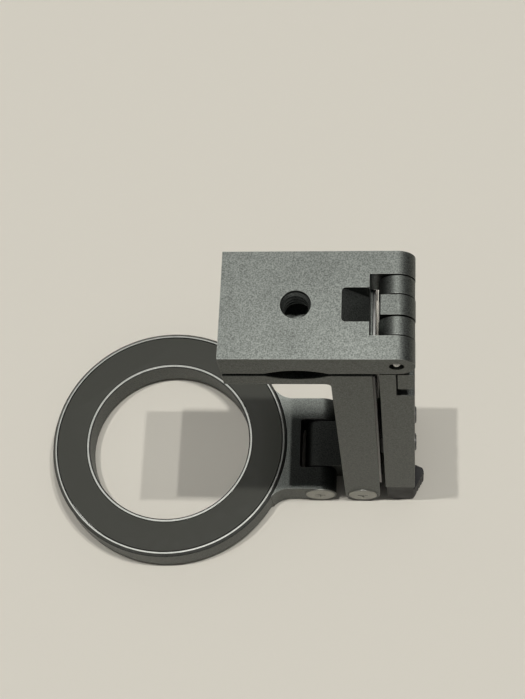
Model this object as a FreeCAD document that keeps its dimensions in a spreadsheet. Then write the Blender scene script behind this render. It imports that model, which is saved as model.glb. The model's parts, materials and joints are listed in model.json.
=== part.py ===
import FreeCAD, Part
import math
import os
import re

import Sketcher

# A folding, magnetic car phone mount.
#
# Frame: +Z up, millimetres. Z = 0 is the surface it stands on, Y = 0 is the
# plane of symmetry, and X = 0 is halfway between the far side of the ring
# (-X) and the tip of the thumb tab (+X). Every hinge turns about a line
# along Y, and the jaw slides along Z.

DIMENSIONS = {
    # overall
    "body_width": 25.0,  # block, leg, slide plate and ring arm, along Y
    "axis_height": 4.5,  # both friction hinges of the ring head
    "link_pitch": 11.0,  # between the two friction hinges
    "ring_reach": 39.7,  # from the ring hinge to the ring's centre
    "pin_offset": 9.65,  # from the leg hinge to the block's hinge pin
    "pin_height": 89.2,
    "lip_reach": 2.3,  # thumb tab beyond the slide plate
    # ring head
    "ring_radius": 31.0,
    "hole_radius": 21.0,
    "head_thick": 9.0,
    "pad_inner": 21.85,
    "pad_outer": 29.85,
    "pad_inner_gap": 0.1,
    "pad_outer_gap": 0.2,
    "pad_thick": 0.6,
    "magnet_thick": 2.0,
    "magnet_inner": 22.2,
    "magnet_outer": 29.0,
    "shunt_thick": 0.6,
    "ring_bevel": 0.7,
    "hole_bevel": 0.3,
    "ring_under_bevel": 2.0,
    "hole_under_bevel": 1.5,
    "arm_thick": 8.3,
    "arm_fillet": 6.0,
    "fork_half": 6.6,  # half width of the ring arm's fork
    "fork_depth": 5.3,  # from the hinge to the root of the fork
    "fork_corner": 0.8,
    # hinges of the ring head
    "pivot_radius": 1.5,
    "pivot_clearance": 0.03,
    "pivot_half": 11.5,  # half length of each pivot pin
    "head_cap_radius": 3.75,
    "leg_cap_radius": 3.65,
    "cap_clearance": 0.05,
    "cap_depth": 1.0,
    "cap_proud": 0.3,
    "recess_long": 2.8,
    "recess_wide": 0.4,
    "recess_deep": 0.25,
    "link_half": 6.15,
    "washer_thick": 0.3,
    "washer_radius": 4.0,
    "washer_gap": 0.02,
    # leg bracket
    "leg_thick": 9.0,
    "leg_slot_half": 6.5,
    "leg_slot_roof": 9.5,
    "shelf_thick": 4.6,
    "jaw_gap": 1.3,
    "corner_fillet": 1.5,
    "channel_deep": 5.5,
    "channel_half": 8.0,
    "channel_floor": 13.0,
    "channel_roof": 77.5,
    "strip_thick": 0.55,
    "strip_foot": 13.8,
    "strip_slot_half": 5.8,
    "strip_slot_foot": 15.4,
    "strip_slot_top": 47.6,
    "strip_screw_y": 10.3,
    "strip_screw_low": 18.0,
    "strip_screw_high": 76.0,
    "strip_head_radius": 1.4,
    "strip_head_thick": 0.35,
    "strip_head_proud": 0.15,
    "strip_shank_radius": 0.8,
    "strip_shank_deep": 3.5,
    "strip_drive_wide": 0.4,
    "strip_drive_deep": 0.25,
    # jaw groove for round bars
    "groove_radius": 14.3,
    "groove_deep": 1.7,
    # slider
    "plate_thick": 7.4,
    "plate_foot": 10.4,
    "plate_top_gap": 0.5,
    "liner_thick": 0.3,
    "liner_half": 7.0,
    "liner_foot": 30.0,
    "knuckle_radius": 3.85,
    "knuckle_inner": 2.6,
    "knuckle_outer": 6.85,
    "insert_half": 2.35,
    "insert_radius": 3.95,
    "insert_foot": 77.0,
    "insert_left": 3.6,
    "follower_foot": 13.4,
    "follower_top": 27.4,
    "follower_half": 7.7,
    "neck_half": 5.4,
    "flange_left": 2.35,
    "flange_right": 2.4,
    "neck_foot_gap": 0.4,
    "follower_screw_y": 3.6,
    "follower_screw_z": 20.0,
    "screw_head_radius": 2.2,
    "screw_head_sunk": 1.2,
    "screw_head_proud": 0.4,
    "screw_shank_radius": 0.9,
    "screw_drive_deep": 0.9,
    "spring_y": 3.9,
    "spring_radius": 1.9,
    "spring_wire": 0.25,
    "spring_pitch": 3.8,
    # release latch
    "notch_wide": 3.9,
    "notch_deep": 7.0,
    "notch_floor": 73.2,
    "latch_gap": 0.35,
    "latch_foot": 76.6,
    "latch_face": 0.15,
    "latch_top_gap": 0.3,
    "latch_front_gap": 0.1,
    "latch_rear_gap": 0.3,
    "latch_chamfer": 0.8,
    "tongue_deep": 1.5,
    "tongue_low": 43.8,
    "tongue_high": 45.2,
    "latch_spring_radius": 0.9,
    "latch_spring_wire": 0.15,
    "latch_spring_pitch": 1.4,
    "latch_spring_foot": 67.0,
    "latch_bore_radius": 1.3,
    # end cap
    "cap_inset": 0.35,
    "cap_round": 2.5,
    "tab_low": 0.8,
    "tab_high": 7.0,
    "cap_side_gap": 0.3,
    "cap_screw_y": 8.0,
    "cap_screw_radius": 0.95,
    "cap_head_radius": 1.9,
    "cap_head_low": 1.2,
    "cap_head_thick": 1.2,
    "cap_drive_radius": 0.75,
    "cap_drive_deep": 0.7,
    "tab_tip_y": -5.8,
    "tab_blunt": 0.4,
    "tab_blunt_y": -4.6,
    "tab_rear_y": -3.4,
    # mount block
    "block_thick": 7.8,
    "block_reach": 37.2,
    "block_edge": 0.25,
    "hole_reach": 21.15,
    "thread_radius": 3.175,
    "notch_reach": 5.7,
    "notch_half": 7.1,
    "ramp_reach": 11.5,
    "ramp_half": 3.95,
    "ramp_deep": 5.5,
    "ramp_corner": 0.9,
    "hinge_pin_radius": 1.0,
    "hinge_pin_half": 11.9,
    "hinge_pin_bevel": 0.3,
    "hinge_clearance": 0.04,
    "pin_recess_radius": 1.6,
    "pin_recess_deep": 1.0,
    "spacer_radius": 3.0,
    "spacer_gap": 0.03,
}

MAGNETS = 16
MAGNET_GAP_DEG = 1.6

# Places worked out from the driving dimensions.
AXIS2_X = "((link_pitch + ring_reach + ring_radius - pin_offset - plate_thick / 2 - lip_reach) / 2)"
AXIS1_X = f"({AXIS2_X} - link_pitch)"
RING_X = f"({AXIS1_X} - ring_reach)"
PIN_X = f"({AXIS2_X} + pin_offset)"
HOLE_X = f"({PIN_X} - hole_reach)"
HALF = "(body_width / 2)"
LEG_LEFT = f"({AXIS2_X} - leg_thick / 2)"
LEG_RIGHT = f"({AXIS2_X} + leg_thick / 2)"
STRIP_RIGHT = f"({LEG_RIGHT} + strip_thick)"
PLATE_LEFT = f"({PIN_X} - plate_thick / 2)"
PLATE_RIGHT = f"({PIN_X} + plate_thick / 2)"
BLOCK_LEFT = f"({PIN_X} - block_reach)"
BLOCK_RADIUS = "(block_thick / 2)"
BLOCK_FOOT = f"(pin_height - {BLOCK_RADIUS})"
BLOCK_TOP = f"(pin_height + {BLOCK_RADIUS})"
SHELF_TOP = f"({BLOCK_FOOT} - jaw_gap)"
PLATE_TOP = f"({BLOCK_FOOT} - plate_top_gap)"
PAD_FLOOR = "(head_thick - pad_thick)"
MAGNET_FLOOR = f"({PAD_FLOOR} - magnet_thick)"
SHUNT_FLOOR = f"({MAGNET_FLOOR} - shunt_thick)"
ARM_FOOT = "(axis_height - arm_thick / 2)"
ARM_TOP = "(axis_height + arm_thick / 2)"
CHANNEL_X = f"({LEG_RIGHT} - channel_deep / 2)"
NOTCH_LEFT = f"({PLATE_RIGHT} - notch_wide)"
LATCH_Y = f"(-{HALF} + notch_deep / 2)"
TONGUE_X = "((tongue_low + tongue_high) / 2)"

doc = FreeCAD.newDocument("car_phone_mount")
sheet = doc.addObject("Spreadsheet::Sheet", "Dims")
for row, (alias, size) in enumerate(DIMENSIONS.items(), start=1):
    sheet.set(f"A{row}", alias)
    sheet.set(f"B{row}", str(size))
    sheet.setAlias(f"B{row}", alias)
doc.recompute()

nodes = []


# --- small helpers ---------------------------------------------------------


def formula(text):
    """The same formula with every alias read from the sheet."""
    return re.sub(r"\b([a-z]\w+)\b(?!\()", r"Dims.\1", str(text))


def number(text):
    return float(sheet.evalExpression(formula(text)))


def bind(obj, **sizes):
    for prop, text in sizes.items():
        obj.setExpression(prop, formula(text))


def place(obj, x="0", y="0", z="0"):
    for axis, text in zip("xyz", (x, y, z)):
        obj.setExpression(f"Placement.Base.{axis}", formula(text))


def add(kind, label):
    obj = doc.addObject(kind, label)
    obj.Label = label
    return obj


def node(obj):
    """Marks an object as one of the mount's pieces."""
    nodes.append(obj)
    return obj


def block(label, x, y, z):
    """A box between pairs of coordinates."""
    box = add("Part::Box", label)
    sides = [f"({end}) - ({start})" for start, end in (x, y, z)]
    bind(box, Length=sides[0], Width=sides[1], Height=sides[2])
    place(box, x[0], y[0], z[0])
    return box


TURNS = {
    "x": FreeCAD.Rotation(FreeCAD.Vector(0, 1, 0), 90),
    "y": FreeCAD.Rotation(FreeCAD.Vector(1, 0, 0), -90),
    "z": FreeCAD.Rotation(),
}


def rod(label, axis, radius, start, length):
    """A cylinder from start, running length along +X, +Y or +Z."""
    cylinder = add("Part::Cylinder", label)
    cylinder.Placement = FreeCAD.Placement(FreeCAD.Vector(), TURNS[axis])
    bind(cylinder, Radius=radius, Height=length)
    place(cylinder, *start)
    return cylinder


def rod_across(label, radius, x, z, half):
    """A cylinder about a line along Y, centred on Y = 0."""
    return rod(label, "y", radius, (x, f"-({half})", z), f"2 * ({half})")


def fuse(label, *shapes):
    joined = add("Part::MultiFuse", label)
    joined.Shapes = list(shapes)
    joined.Refine = True
    return joined


def group(label, *shapes):
    """Separate solids of one kind, kept as one node."""
    kept = add("Part::Compound", label)
    kept.Links = list(shapes)
    return kept


def cut(label, base, *tools):
    result = add("Part::Cut", label)
    result.Base = base
    result.Tool = tools[0] if len(tools) == 1 else fuse(f"{label}_tools", *tools)
    result.Refine = True
    return result


def edges_where(shape, test):
    """Numbers of the edges whose two ends and middle all pass the test."""
    found = []
    for index, edge in enumerate(shape.Edges, start=1):
        middle = edge.valueAt((edge.FirstParameter + edge.LastParameter) / 2)
        points = [vertex.Point for vertex in edge.Vertexes] + [middle]
        if all(test(point) for point in points):
            found.append(index)
    return found


def near(value, text, tolerance=0.01):
    return abs(value - number(text)) < tolerance


def edge_feature(kind, label, base, size, test):
    """A fillet or chamfer of one size on the edges that pass the test."""
    doc.recompute()
    found = edges_where(base.Shape, test)
    if not found:
        raise RuntimeError(f"{label}: no edge to work on")
    feature = add(kind, label)
    feature.Base = base
    feature.Edges = [(index, number(size), number(size)) for index in found]
    return feature


def fillet(label, base, size, test):
    return edge_feature("Part::Fillet", label, base, size, test)


def chamfer(label, base, size, test):
    return edge_feature("Part::Chamfer", label, base, size, test)


def origin_plane(body, role):
    return next(item for item in body.Origin.OriginFeatures if item.Role == role)


def outline(body, label, role, corners, offset="0"):
    """A closed polygon on an origin plane, each corner fixed by the sheet."""
    sketch = body.newObject("Sketcher::SketchObject", label)
    sketch.AttachmentSupport = [(origin_plane(body, role), "")]
    sketch.MapMode = "FlatFace"
    sketch.setExpression("AttachmentOffset.Base.z", formula(offset))
    points = [FreeCAD.Vector(number(u), number(v), 0) for u, v in corners]
    for start, end in zip(points, points[1:] + points[:1]):
        sketch.addGeometry(Part.LineSegment(start, end))
    for index, (u, v) in enumerate(corners):
        previous = (index - 1) % len(corners)
        sketch.addConstraint(Sketcher.Constraint("Coincident", previous, 2, index, 1))
        for kind, text in (("DistanceX", u), ("DistanceY", v)):
            fixed = Sketcher.Constraint(kind, -1, 1, index, 1, number(text))
            at = sketch.addConstraint(fixed)
            sketch.setExpression(f"Constraints[{at}]", formula(text))
    return sketch


def pad(body, label, sketch, length, symmetric=False):
    feature = body.newObject("PartDesign::Pad", label)
    feature.Profile = sketch
    feature.SideType = "Symmetric" if symmetric else "One side"
    bind(feature, Length=length)
    return feature


def pocket(body, label, sketch, length, symmetric=False):
    feature = body.newObject("PartDesign::Pocket", label)
    feature.Profile = sketch
    feature.SideType = "Symmetric" if symmetric else "One side"
    bind(feature, Length=length)
    return feature


def turned(label, x, z, profile):
    """A body turned about a vertical line: profile corners are (radius, height)."""
    body = doc.addObject("PartDesign::Body", label)
    body.Label = label
    place(body, x, "0", z)
    section = outline(body, f"{label}_profile", "XZ_Plane", profile)
    feature = body.newObject("PartDesign::Revolution", f"{label}_turn")
    feature.Profile = section
    feature.ReferenceAxis = (section, ["V_Axis"])
    feature.Angle = 360
    return body


def ring_profile(inner, outer, low, high):
    return [(inner, low), (outer, low), (outer, high), (inner, high)]


def coil(label, x, y, foot, top, radius, wire, pitch):
    """A compression spring of round wire, standing between two heights."""
    line = add("Part::Helix", f"{label}_line")
    bind(line, Pitch=pitch, Radius=radius, Height=f"{top} - {foot} - 4 * ({wire})")
    place(line, x, y, f"{foot} + 2 * ({wire})")
    section = add("Part::Circle", f"{label}_section")
    bind(section, Radius=wire)
    upright = FreeCAD.Rotation(FreeCAD.Vector(1, 0, 0), 90)
    section.Placement = FreeCAD.Placement(FreeCAD.Vector(), upright)
    place(section, f"{x} + {radius}", y, f"{foot} + 2 * ({wire})")
    wound = add("Part::Sweep", label)
    wound.Sections = [section]
    wound.Spine = (line, ["Edge1"])
    wound.Solid = True
    wound.Frenet = True
    return wound


def recessed_caps(label, x, radius):
    """The two pivot heads of one hinge, each with a small cross recess for a driver."""
    pair = []
    face = f"({HALF} + cap_proud)"
    for side, name in ((-1, "front"), (1, "rear")):
        inner = f"{HALF} - cap_depth"
        start = (x, inner if side > 0 else f"-{face}", "axis_height")
        head = rod(f"{label}_{name}_disc", "y", radius, start, "cap_depth + cap_proud")
        near_y = f"{face} - recess_deep" if side > 0 else f"-{face} - 1"
        far_y = f"{face} + 1" if side > 0 else f"-{face} + recess_deep"
        arms = []
        for arm, long_x, long_z in (
            ("level", "recess_long / 2", "recess_wide / 2"),
            ("upright", "recess_wide / 2", "recess_long / 2"),
        ):
            arms.append(
                block(
                    f"{label}_{name}_{arm}",
                    (f"{x} - {long_x}", f"{x} + {long_x}"),
                    (near_y, far_y),
                    (f"axis_height - {long_z}", f"axis_height + {long_z}"),
                )
            )
        pair.append(cut(f"{label}_{name}", head, *arms))
    return node(group(label, *pair))


def washers(label, x):
    """Friction washers on both sides of the link, at one hinge."""
    pair = []
    inner = "link_half + washer_gap"
    for name, start in (("front", f"-({inner} + washer_thick)"), ("rear", inner)):
        disc_start = (x, start, "axis_height")
        disc = rod(f"{label}_{name}_disc", "y", "washer_radius", disc_start, "washer_thick")
        bore = rod_across(f"{label}_{name}_bore", "pivot_radius + pivot_clearance", x, "axis_height", HALF)
        pair.append(cut(f"{label}_{name}", disc, bore))
    return node(group(label, *pair))


# --- leg bracket: upright leg, clamping shelf, hinge fork, spring channel ----


def leg_bracket():
    body = doc.addObject("PartDesign::Body", "leg_bracket_form")
    place(body)
    side_view = outline(
        body,
        "leg_side_view",
        "XZ_Plane",
        [
            (BLOCK_LEFT, f"{SHELF_TOP} - shelf_thick"),
            (LEG_LEFT, f"{SHELF_TOP} - shelf_thick"),
            (LEG_LEFT, "axis_height"),
            (LEG_RIGHT, "axis_height"),
            (LEG_RIGHT, SHELF_TOP),
            (BLOCK_LEFT, SHELF_TOP),
        ],
    )
    pad(body, "leg_extrusion", side_view, "body_width", symmetric=True)
    channel_view = outline(
        body,
        "channel_view",
        "YZ_Plane",
        [
            ("-channel_half", "channel_floor"),
            ("channel_half", "channel_floor"),
            ("channel_half", "channel_roof"),
            ("-channel_half", "channel_roof"),
        ],
        offset=LEG_RIGHT,
    )
    pocket(body, "spring_channel", channel_view, "channel_deep")
    rounded = fuse(
        "leg_rounded",
        body,
        rod_across("leg_foot_round", "leg_thick / 2", AXIS2_X, "axis_height", HALF),
    )
    inner = fillet(
        "leg_inner_fillet",
        rounded,
        "corner_fillet",
        lambda p: near(p.x, LEG_LEFT) and near(p.z, f"{SHELF_TOP} - shelf_thick"),
    )
    hinge_slot = block(
        "leg_hinge_slot",
        (f"{LEG_LEFT} - 1", f"{LEG_RIGHT} + 1"),
        ("-leg_slot_half", "leg_slot_half"),
        ("-1", "leg_slot_roof"),
    )
    groove_z = f"{SHELF_TOP} + groove_radius - groove_deep"
    tools = [
        hinge_slot,
        rod_across("leg_pin_bore", "pivot_radius", AXIS2_X, "axis_height", f"{HALF} + 1"),
        rod_across("shelf_groove", "groove_radius", HOLE_X, groove_z, f"{HALF} + 1"),
    ]
    for name, start in (("front", f"-({HALF}) - 1"), ("rear", f"{HALF} - cap_depth")):
        seat_radius = "leg_cap_radius + cap_clearance"
        tools.append(
            rod(f"leg_cap_seat_{name}", "y", seat_radius, (AXIS2_X, start, "axis_height"), "cap_depth + 1")
        )
    for index, (y, z) in enumerate(strip_screw_places()):
        hole_start = (f"{LEG_RIGHT} - strip_shank_deep - 0.5", y, z)
        tools.append(
            rod(f"leg_screw_hole_{index}", "x", "strip_shank_radius", hole_start, "strip_shank_deep + 1")
        )
    return node(cut("leg_bracket", inner, *tools))


def strip_screw_places():
    return [
        (f"{side} * strip_screw_y", z)
        for side in (-1, 1)
        for z in ("strip_screw_low", "strip_screw_high")
    ]


def guide_strip():
    """Polished steel strip that closes the channel and guides the slider."""
    plate = block(
        "strip_sheet", (LEG_RIGHT, STRIP_RIGHT), (f"-({HALF})", HALF), ("strip_foot", SHELF_TOP)
    )
    tools = [
        block(
            "strip_slot",
            (f"{LEG_RIGHT} - 1", f"{STRIP_RIGHT} + 1"),
            ("-strip_slot_half", "strip_slot_half"),
            ("strip_slot_foot", "strip_slot_top"),
        )
    ]
    for index, (y, z) in enumerate(strip_screw_places()):
        hole_start = (f"{LEG_RIGHT} - 1", y, z)
        sink_start = (f"{STRIP_RIGHT} - strip_head_thick", y, z)
        tools.append(rod(f"strip_hole_{index}", "x", "strip_shank_radius + 0.1", hole_start, "4"))
        tools.append(rod(f"strip_sink_{index}", "x", "strip_head_radius + 0.1", sink_start, "1"))
    return node(cut("guide_strip", plate, *tools))


def strip_screws():
    screws = []
    drive_half = "strip_drive_wide / 2"
    for index, (y, z) in enumerate(strip_screw_places()):
        head = rod(
            f"strip_screw_head_{index}",
            "x",
            "strip_head_radius",
            (f"{STRIP_RIGHT} - strip_head_thick", y, z),
            "strip_head_thick + strip_head_proud",
        )
        shank = rod(
            f"strip_screw_shank_{index}",
            "x",
            "strip_shank_radius",
            (f"{LEG_RIGHT} - strip_shank_deep", y, z),
            "strip_shank_deep + strip_thick - 0.1",
        )
        drive = block(
            f"strip_screw_drive_{index}",
            (f"{STRIP_RIGHT} + strip_head_proud - strip_drive_deep", f"{STRIP_RIGHT} + 1"),
            (f"{y} - 2", f"{y} + 2"),
            (f"{z} - {drive_half}", f"{z} + {drive_half}"),
        )
        form = fuse(f"strip_screw_form_{index}", head, shank)
        screws.append(cut(f"strip_screw_{index}", form, drive))
    return node(group("strip_screws", *screws))


def leg_pivot():
    node(rod_across("leg_pivot_pin", "pivot_radius", AXIS2_X, "axis_height", "pivot_half"))
    recessed_caps("leg_pivot_caps", AXIS2_X, "leg_cap_radius")
    washers("leg_friction_washers", AXIS2_X)


# --- link between the two friction hinges ------------------------------------


def pivot_link():
    body = doc.addObject("PartDesign::Body", "pivot_link_form")
    place(body)
    bar_view = outline(
        body,
        "link_side_view",
        "XZ_Plane",
        [
            (AXIS1_X, ARM_FOOT),
            (AXIS2_X, ARM_FOOT),
            (AXIS2_X, ARM_TOP),
            (AXIS1_X, ARM_TOP),
        ],
    )
    pad(body, "link_bar", bar_view, "2 * link_half", symmetric=True)
    ends = []
    bores = []
    for name, x in (("ring", AXIS1_X), ("leg", AXIS2_X)):
        bore_radius = "pivot_radius + pivot_clearance"
        ends.append(rod_across(f"link_end_{name}", "arm_thick / 2", x, "axis_height", "link_half"))
        bores.append(rod_across(f"link_bore_{name}", bore_radius, x, "axis_height", "link_half + 1"))
    return node(cut("pivot_link", fuse("link_form", body, *ends), *bores))


# --- ring head ---------------------------------------------------------------


def ring_housing():
    ring = turned(
        "ring_form",
        RING_X,
        "0",
        [
            ("hole_radius", "hole_under_bevel"),
            ("hole_radius + hole_under_bevel", "0"),
            ("ring_radius", "0"),
            ("ring_radius", "head_thick"),
            ("pad_outer", "head_thick"),
            ("pad_outer", SHUNT_FLOOR),
            ("pad_inner", SHUNT_FLOOR),
            ("pad_inner", "head_thick"),
            ("hole_radius + hole_bevel", "head_thick"),
            ("hole_radius", "head_thick - hole_bevel"),
        ],
    )
    arm_start = f"{RING_X} + hole_radius + 4"
    arm = block("arm_bar", (arm_start, AXIS1_X), (f"-({HALF})", HALF), (ARM_FOOT, ARM_TOP))
    knuckle = rod_across("arm_knuckle", "arm_thick / 2", AXIS1_X, "axis_height", HALF)
    well = rod("arm_well", "z", "pad_outer", (RING_X, "0", "-1"), "head_thick + 2")
    outer_arm = cut("arm_outside_ring", fuse("arm_form", arm, knuckle), well)
    joined = fuse("housing_joined", ring, outer_arm)
    ring_x = number(RING_X)
    ring_radius = number("ring_radius")

    def arm_corner(p):
        return near(math.hypot(p.x - ring_x, p.y), ring_radius) and near(abs(p.y), HALF)

    blended = fillet("housing_blended", joined, "arm_fillet", arm_corner)
    # The bevels go all round the ring, so a fine V-groove parts it from its arm.
    upper_bevel = turned(
        "upper_bevel_cutter",
        RING_X,
        "0",
        [
            ("ring_radius", "head_thick - ring_bevel"),
            ("ring_radius", "head_thick + 1"),
            ("ring_radius - ring_bevel - 1", "head_thick + 1"),
        ],
    )
    under_bevel = turned(
        "under_bevel_cutter",
        RING_X,
        "0",
        [
            ("ring_radius - ring_under_bevel - 1", "-1"),
            ("ring_radius", "-1"),
            ("ring_radius", "ring_under_bevel"),
        ],
    )
    fork = block(
        "arm_fork_slot",
        (f"{AXIS1_X} - fork_depth", f"{AXIS1_X} + head_thick"),
        ("-fork_half", "fork_half"),
        ("-1", "head_thick + 1"),
    )
    fork_round = fillet(
        "arm_fork_rounded",
        fork,
        "fork_corner",
        lambda p: near(p.x, f"{AXIS1_X} - fork_depth") and near(abs(p.y), "fork_half"),
    )
    tools = [
        upper_bevel,
        under_bevel,
        fork_round,
        rod_across("arm_pin_bore", "pivot_radius", AXIS1_X, "axis_height", f"{HALF} + 1"),
    ]
    for name, start in (("front", f"-({HALF}) - 1"), ("rear", f"{HALF} - cap_depth")):
        seat_radius = "head_cap_radius + cap_clearance"
        tools.append(
            rod(f"arm_cap_seat_{name}", "y", seat_radius, (AXIS1_X, start, "axis_height"), "cap_depth + 1")
        )
    return node(cut("ring_housing", blended, *tools))


def magnet_segments():
    """Arc magnets in the ring's pocket, one separate solid each."""
    pitch = 360 / MAGNETS
    segments = []
    for index in range(MAGNETS):
        sector = add("Part::Cylinder", f"magnet_sector_{index}")
        bind(sector, Radius="magnet_outer", Height="magnet_thick")
        sector.Angle = pitch - MAGNET_GAP_DEG
        turn = FreeCAD.Rotation(FreeCAD.Vector(0, 0, 1), index * pitch + MAGNET_GAP_DEG / 2)
        sector.Placement = FreeCAD.Placement(FreeCAD.Vector(), turn)
        place(sector, RING_X, "0", MAGNET_FLOOR)
        core_start = (RING_X, "0", f"{MAGNET_FLOOR} - 1")
        core = rod(f"magnet_core_{index}", "z", "magnet_inner", core_start, "magnet_thick + 2")
        segments.append(cut(f"magnet_{index}", sector, core))
    return node(group("magnet_segments", *segments))


def ring_head():
    ring_housing()
    shunt = ring_profile("pad_inner + 0.1", "pad_outer - 0.1", SHUNT_FLOOR, MAGNET_FLOOR)
    node(turned("magnet_shunt", RING_X, "0", shunt))
    magnet_segments()
    pad_section = ring_profile(
        "pad_inner + pad_inner_gap", "pad_outer - pad_outer_gap", PAD_FLOOR, "head_thick"
    )
    node(turned("ring_pad", RING_X, "0", pad_section))
    node(rod_across("ring_pivot_pin", "pivot_radius", AXIS1_X, "axis_height", "pivot_half"))
    recessed_caps("ring_pivot_caps", AXIS1_X, "head_cap_radius")
    washers("ring_friction_washers", AXIS1_X)


# --- slider: back plate, knuckles, follower, springs, end cap ----------------


def slide_plate():
    body = doc.addObject("PartDesign::Body", "slide_plate_form")
    place(body)
    side_view = outline(
        body,
        "plate_side_view",
        "XZ_Plane",
        [
            (PLATE_LEFT, "plate_foot"),
            (PLATE_RIGHT, "plate_foot"),
            (PLATE_RIGHT, PLATE_TOP),
            (PLATE_LEFT, PLATE_TOP),
        ],
    )
    pad(body, "plate_extrusion", side_view, "body_width", symmetric=True)
    knuckles = []
    for side, name in ((-1, "front"), (1, "rear")):
        start = "knuckle_inner" if side > 0 else "-knuckle_outer"
        end = "knuckle_outer" if side > 0 else "-knuckle_inner"
        length = "knuckle_outer - knuckle_inner"
        knuckles.append(rod(f"knuckle_{name}", "y", "knuckle_radius", (PIN_X, start, "pin_height"), length))
        web_z = (f"{PLATE_TOP} - 1", "pin_height")
        knuckles.append(
            block(f"knuckle_web_{name}", (PLATE_LEFT, PLATE_RIGHT), (start, end), web_z)
        )
    latch_bore_start = (TONGUE_X, LATCH_Y, "latch_spring_foot")
    tools = [
        rod_across("knuckle_bore", "hinge_pin_radius + hinge_clearance", PIN_X, "pin_height", HALF),
        block(
            "insert_slot",
            (f"{PLATE_LEFT} - 1", f"{PLATE_RIGHT} + 1"),
            ("-insert_half", "insert_half"),
            ("insert_foot", "pin_height + 6"),
        ),
        block(
            "latch_notch",
            (NOTCH_LEFT, f"{PLATE_RIGHT} + 1"),
            (f"-({HALF}) - 1", f"-({HALF}) + notch_deep"),
            ("notch_floor", f"{PLATE_TOP} + 1"),
        ),
        block(
            "latch_groove",
            ("tongue_low - 0.3", "tongue_high + 0.3"),
            (f"-({HALF}) + notch_deep - 1", f"-({HALF}) + notch_deep + tongue_deep"),
            ("notch_floor", f"{PLATE_TOP} + 1"),
        ),
        rod("latch_spring_hole", "z", "latch_bore_radius", latch_bore_start, "10"),
    ]
    for index, y in enumerate(("-follower_screw_y", "follower_screw_y")):
        hole_start = (f"{PLATE_LEFT} - 1", y, "follower_screw_z")
        hole = rod(f"plate_screw_hole_{index}", "x", "screw_shank_radius + 0.2", hole_start, "12")
        seat_start = (f"{PLATE_RIGHT} - screw_head_sunk", y, "follower_screw_z")
        seat = rod(f"plate_screw_seat_{index}", "x", "screw_head_radius + 0.1", seat_start, "3")
        tools += [hole, seat]
    for index, y in enumerate(("-cap_screw_y", "cap_screw_y")):
        hole_start = (PIN_X, y, "plate_foot - 1")
        tools.append(rod(f"plate_cap_hole_{index}", "z", "cap_screw_radius", hole_start, "8"))
    return node(cut("slide_plate", fuse("plate_form", body, *knuckles), *tools))


def hinge_insert():
    """Friction barrel between the plate's two knuckles, square on its left shoulder."""
    width = ("-insert_half + 0.05", "insert_half - 0.05")
    tail = block("insert_tail", (PLATE_LEFT, PLATE_RIGHT), width, ("insert_foot + 0.05", "pin_height"))
    shoulder = block(
        "insert_shoulder",
        (f"{PIN_X} - insert_left", PIN_X),
        width,
        ("pin_height - 1", f"pin_height + {BLOCK_RADIUS} - 0.05"),
    )
    barrel = rod_across("insert_barrel", "insert_radius", PIN_X, "pin_height", "insert_half - 0.05")
    bore = rod_across("insert_bore", "hinge_pin_radius + hinge_clearance", PIN_X, "pin_height", HALF)
    return node(cut("hinge_insert", fuse("insert_form", tail, shoulder, barrel), bore))


def slide_follower():
    """T-shaped block that runs in the leg's channel behind the steel strip."""
    flange = block(
        "follower_flange",
        (f"{CHANNEL_X} - flange_left", f"{CHANNEL_X} + flange_right"),
        ("-follower_half", "follower_half"),
        ("follower_foot", "follower_top"),
    )
    neck = block(
        "follower_neck",
        (CHANNEL_X, PLATE_LEFT),
        ("-neck_half", "neck_half"),
        ("strip_slot_foot + neck_foot_gap", "follower_top"),
    )
    holes = []
    for index, y in enumerate(("-follower_screw_y", "follower_screw_y")):
        hole_start = (f"{CHANNEL_X} - 3", y, "follower_screw_z")
        holes.append(rod(f"follower_hole_{index}", "x", "screw_shank_radius", hole_start, "9"))
    return node(cut("slide_follower", fuse("follower_form", flange, neck), *holes))


def follower_screws():
    """Two screws through the plate into the follower, with domed socket heads."""
    screws = []
    head_long = "screw_head_sunk + screw_head_proud"
    shank_long = f"{PLATE_RIGHT} - {CHANNEL_X} - screw_head_sunk + 1.5"
    for index, y in enumerate(("-follower_screw_y", "follower_screw_y")):
        z = "follower_screw_z"
        head_start = (f"{PLATE_RIGHT} - screw_head_sunk", y, z)
        shank_start = (f"{CHANNEL_X} - 1", y, z)
        drive_start = (f"{PLATE_RIGHT} + screw_head_proud - screw_drive_deep", y, z)
        head = rod(f"follower_head_{index}", "x", "screw_head_radius", head_start, head_long)
        shank = rod(f"follower_shank_{index}", "x", "screw_shank_radius", shank_start, shank_long)
        drive = rod(f"follower_drive_{index}", "x", "screw_shank_radius", drive_start, "3")
        form = fuse(f"follower_screw_form_{index}", head, shank)
        screws.append(cut(f"follower_screw_{index}", form, drive))
    return node(group("follower_screws", *screws))


def clamp_springs():
    """Two springs between the follower and the roof of the channel."""
    ends = ("follower_top", "channel_roof")
    wire = ("spring_radius", "spring_wire", "spring_pitch")
    pair = [
        coil(f"clamp_spring_{name}", CHANNEL_X, y, *ends, *wire)
        for name, y in (("front", "-spring_y"), ("rear", "spring_y"))
    ]
    return node(group("clamp_springs", *pair))


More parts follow.
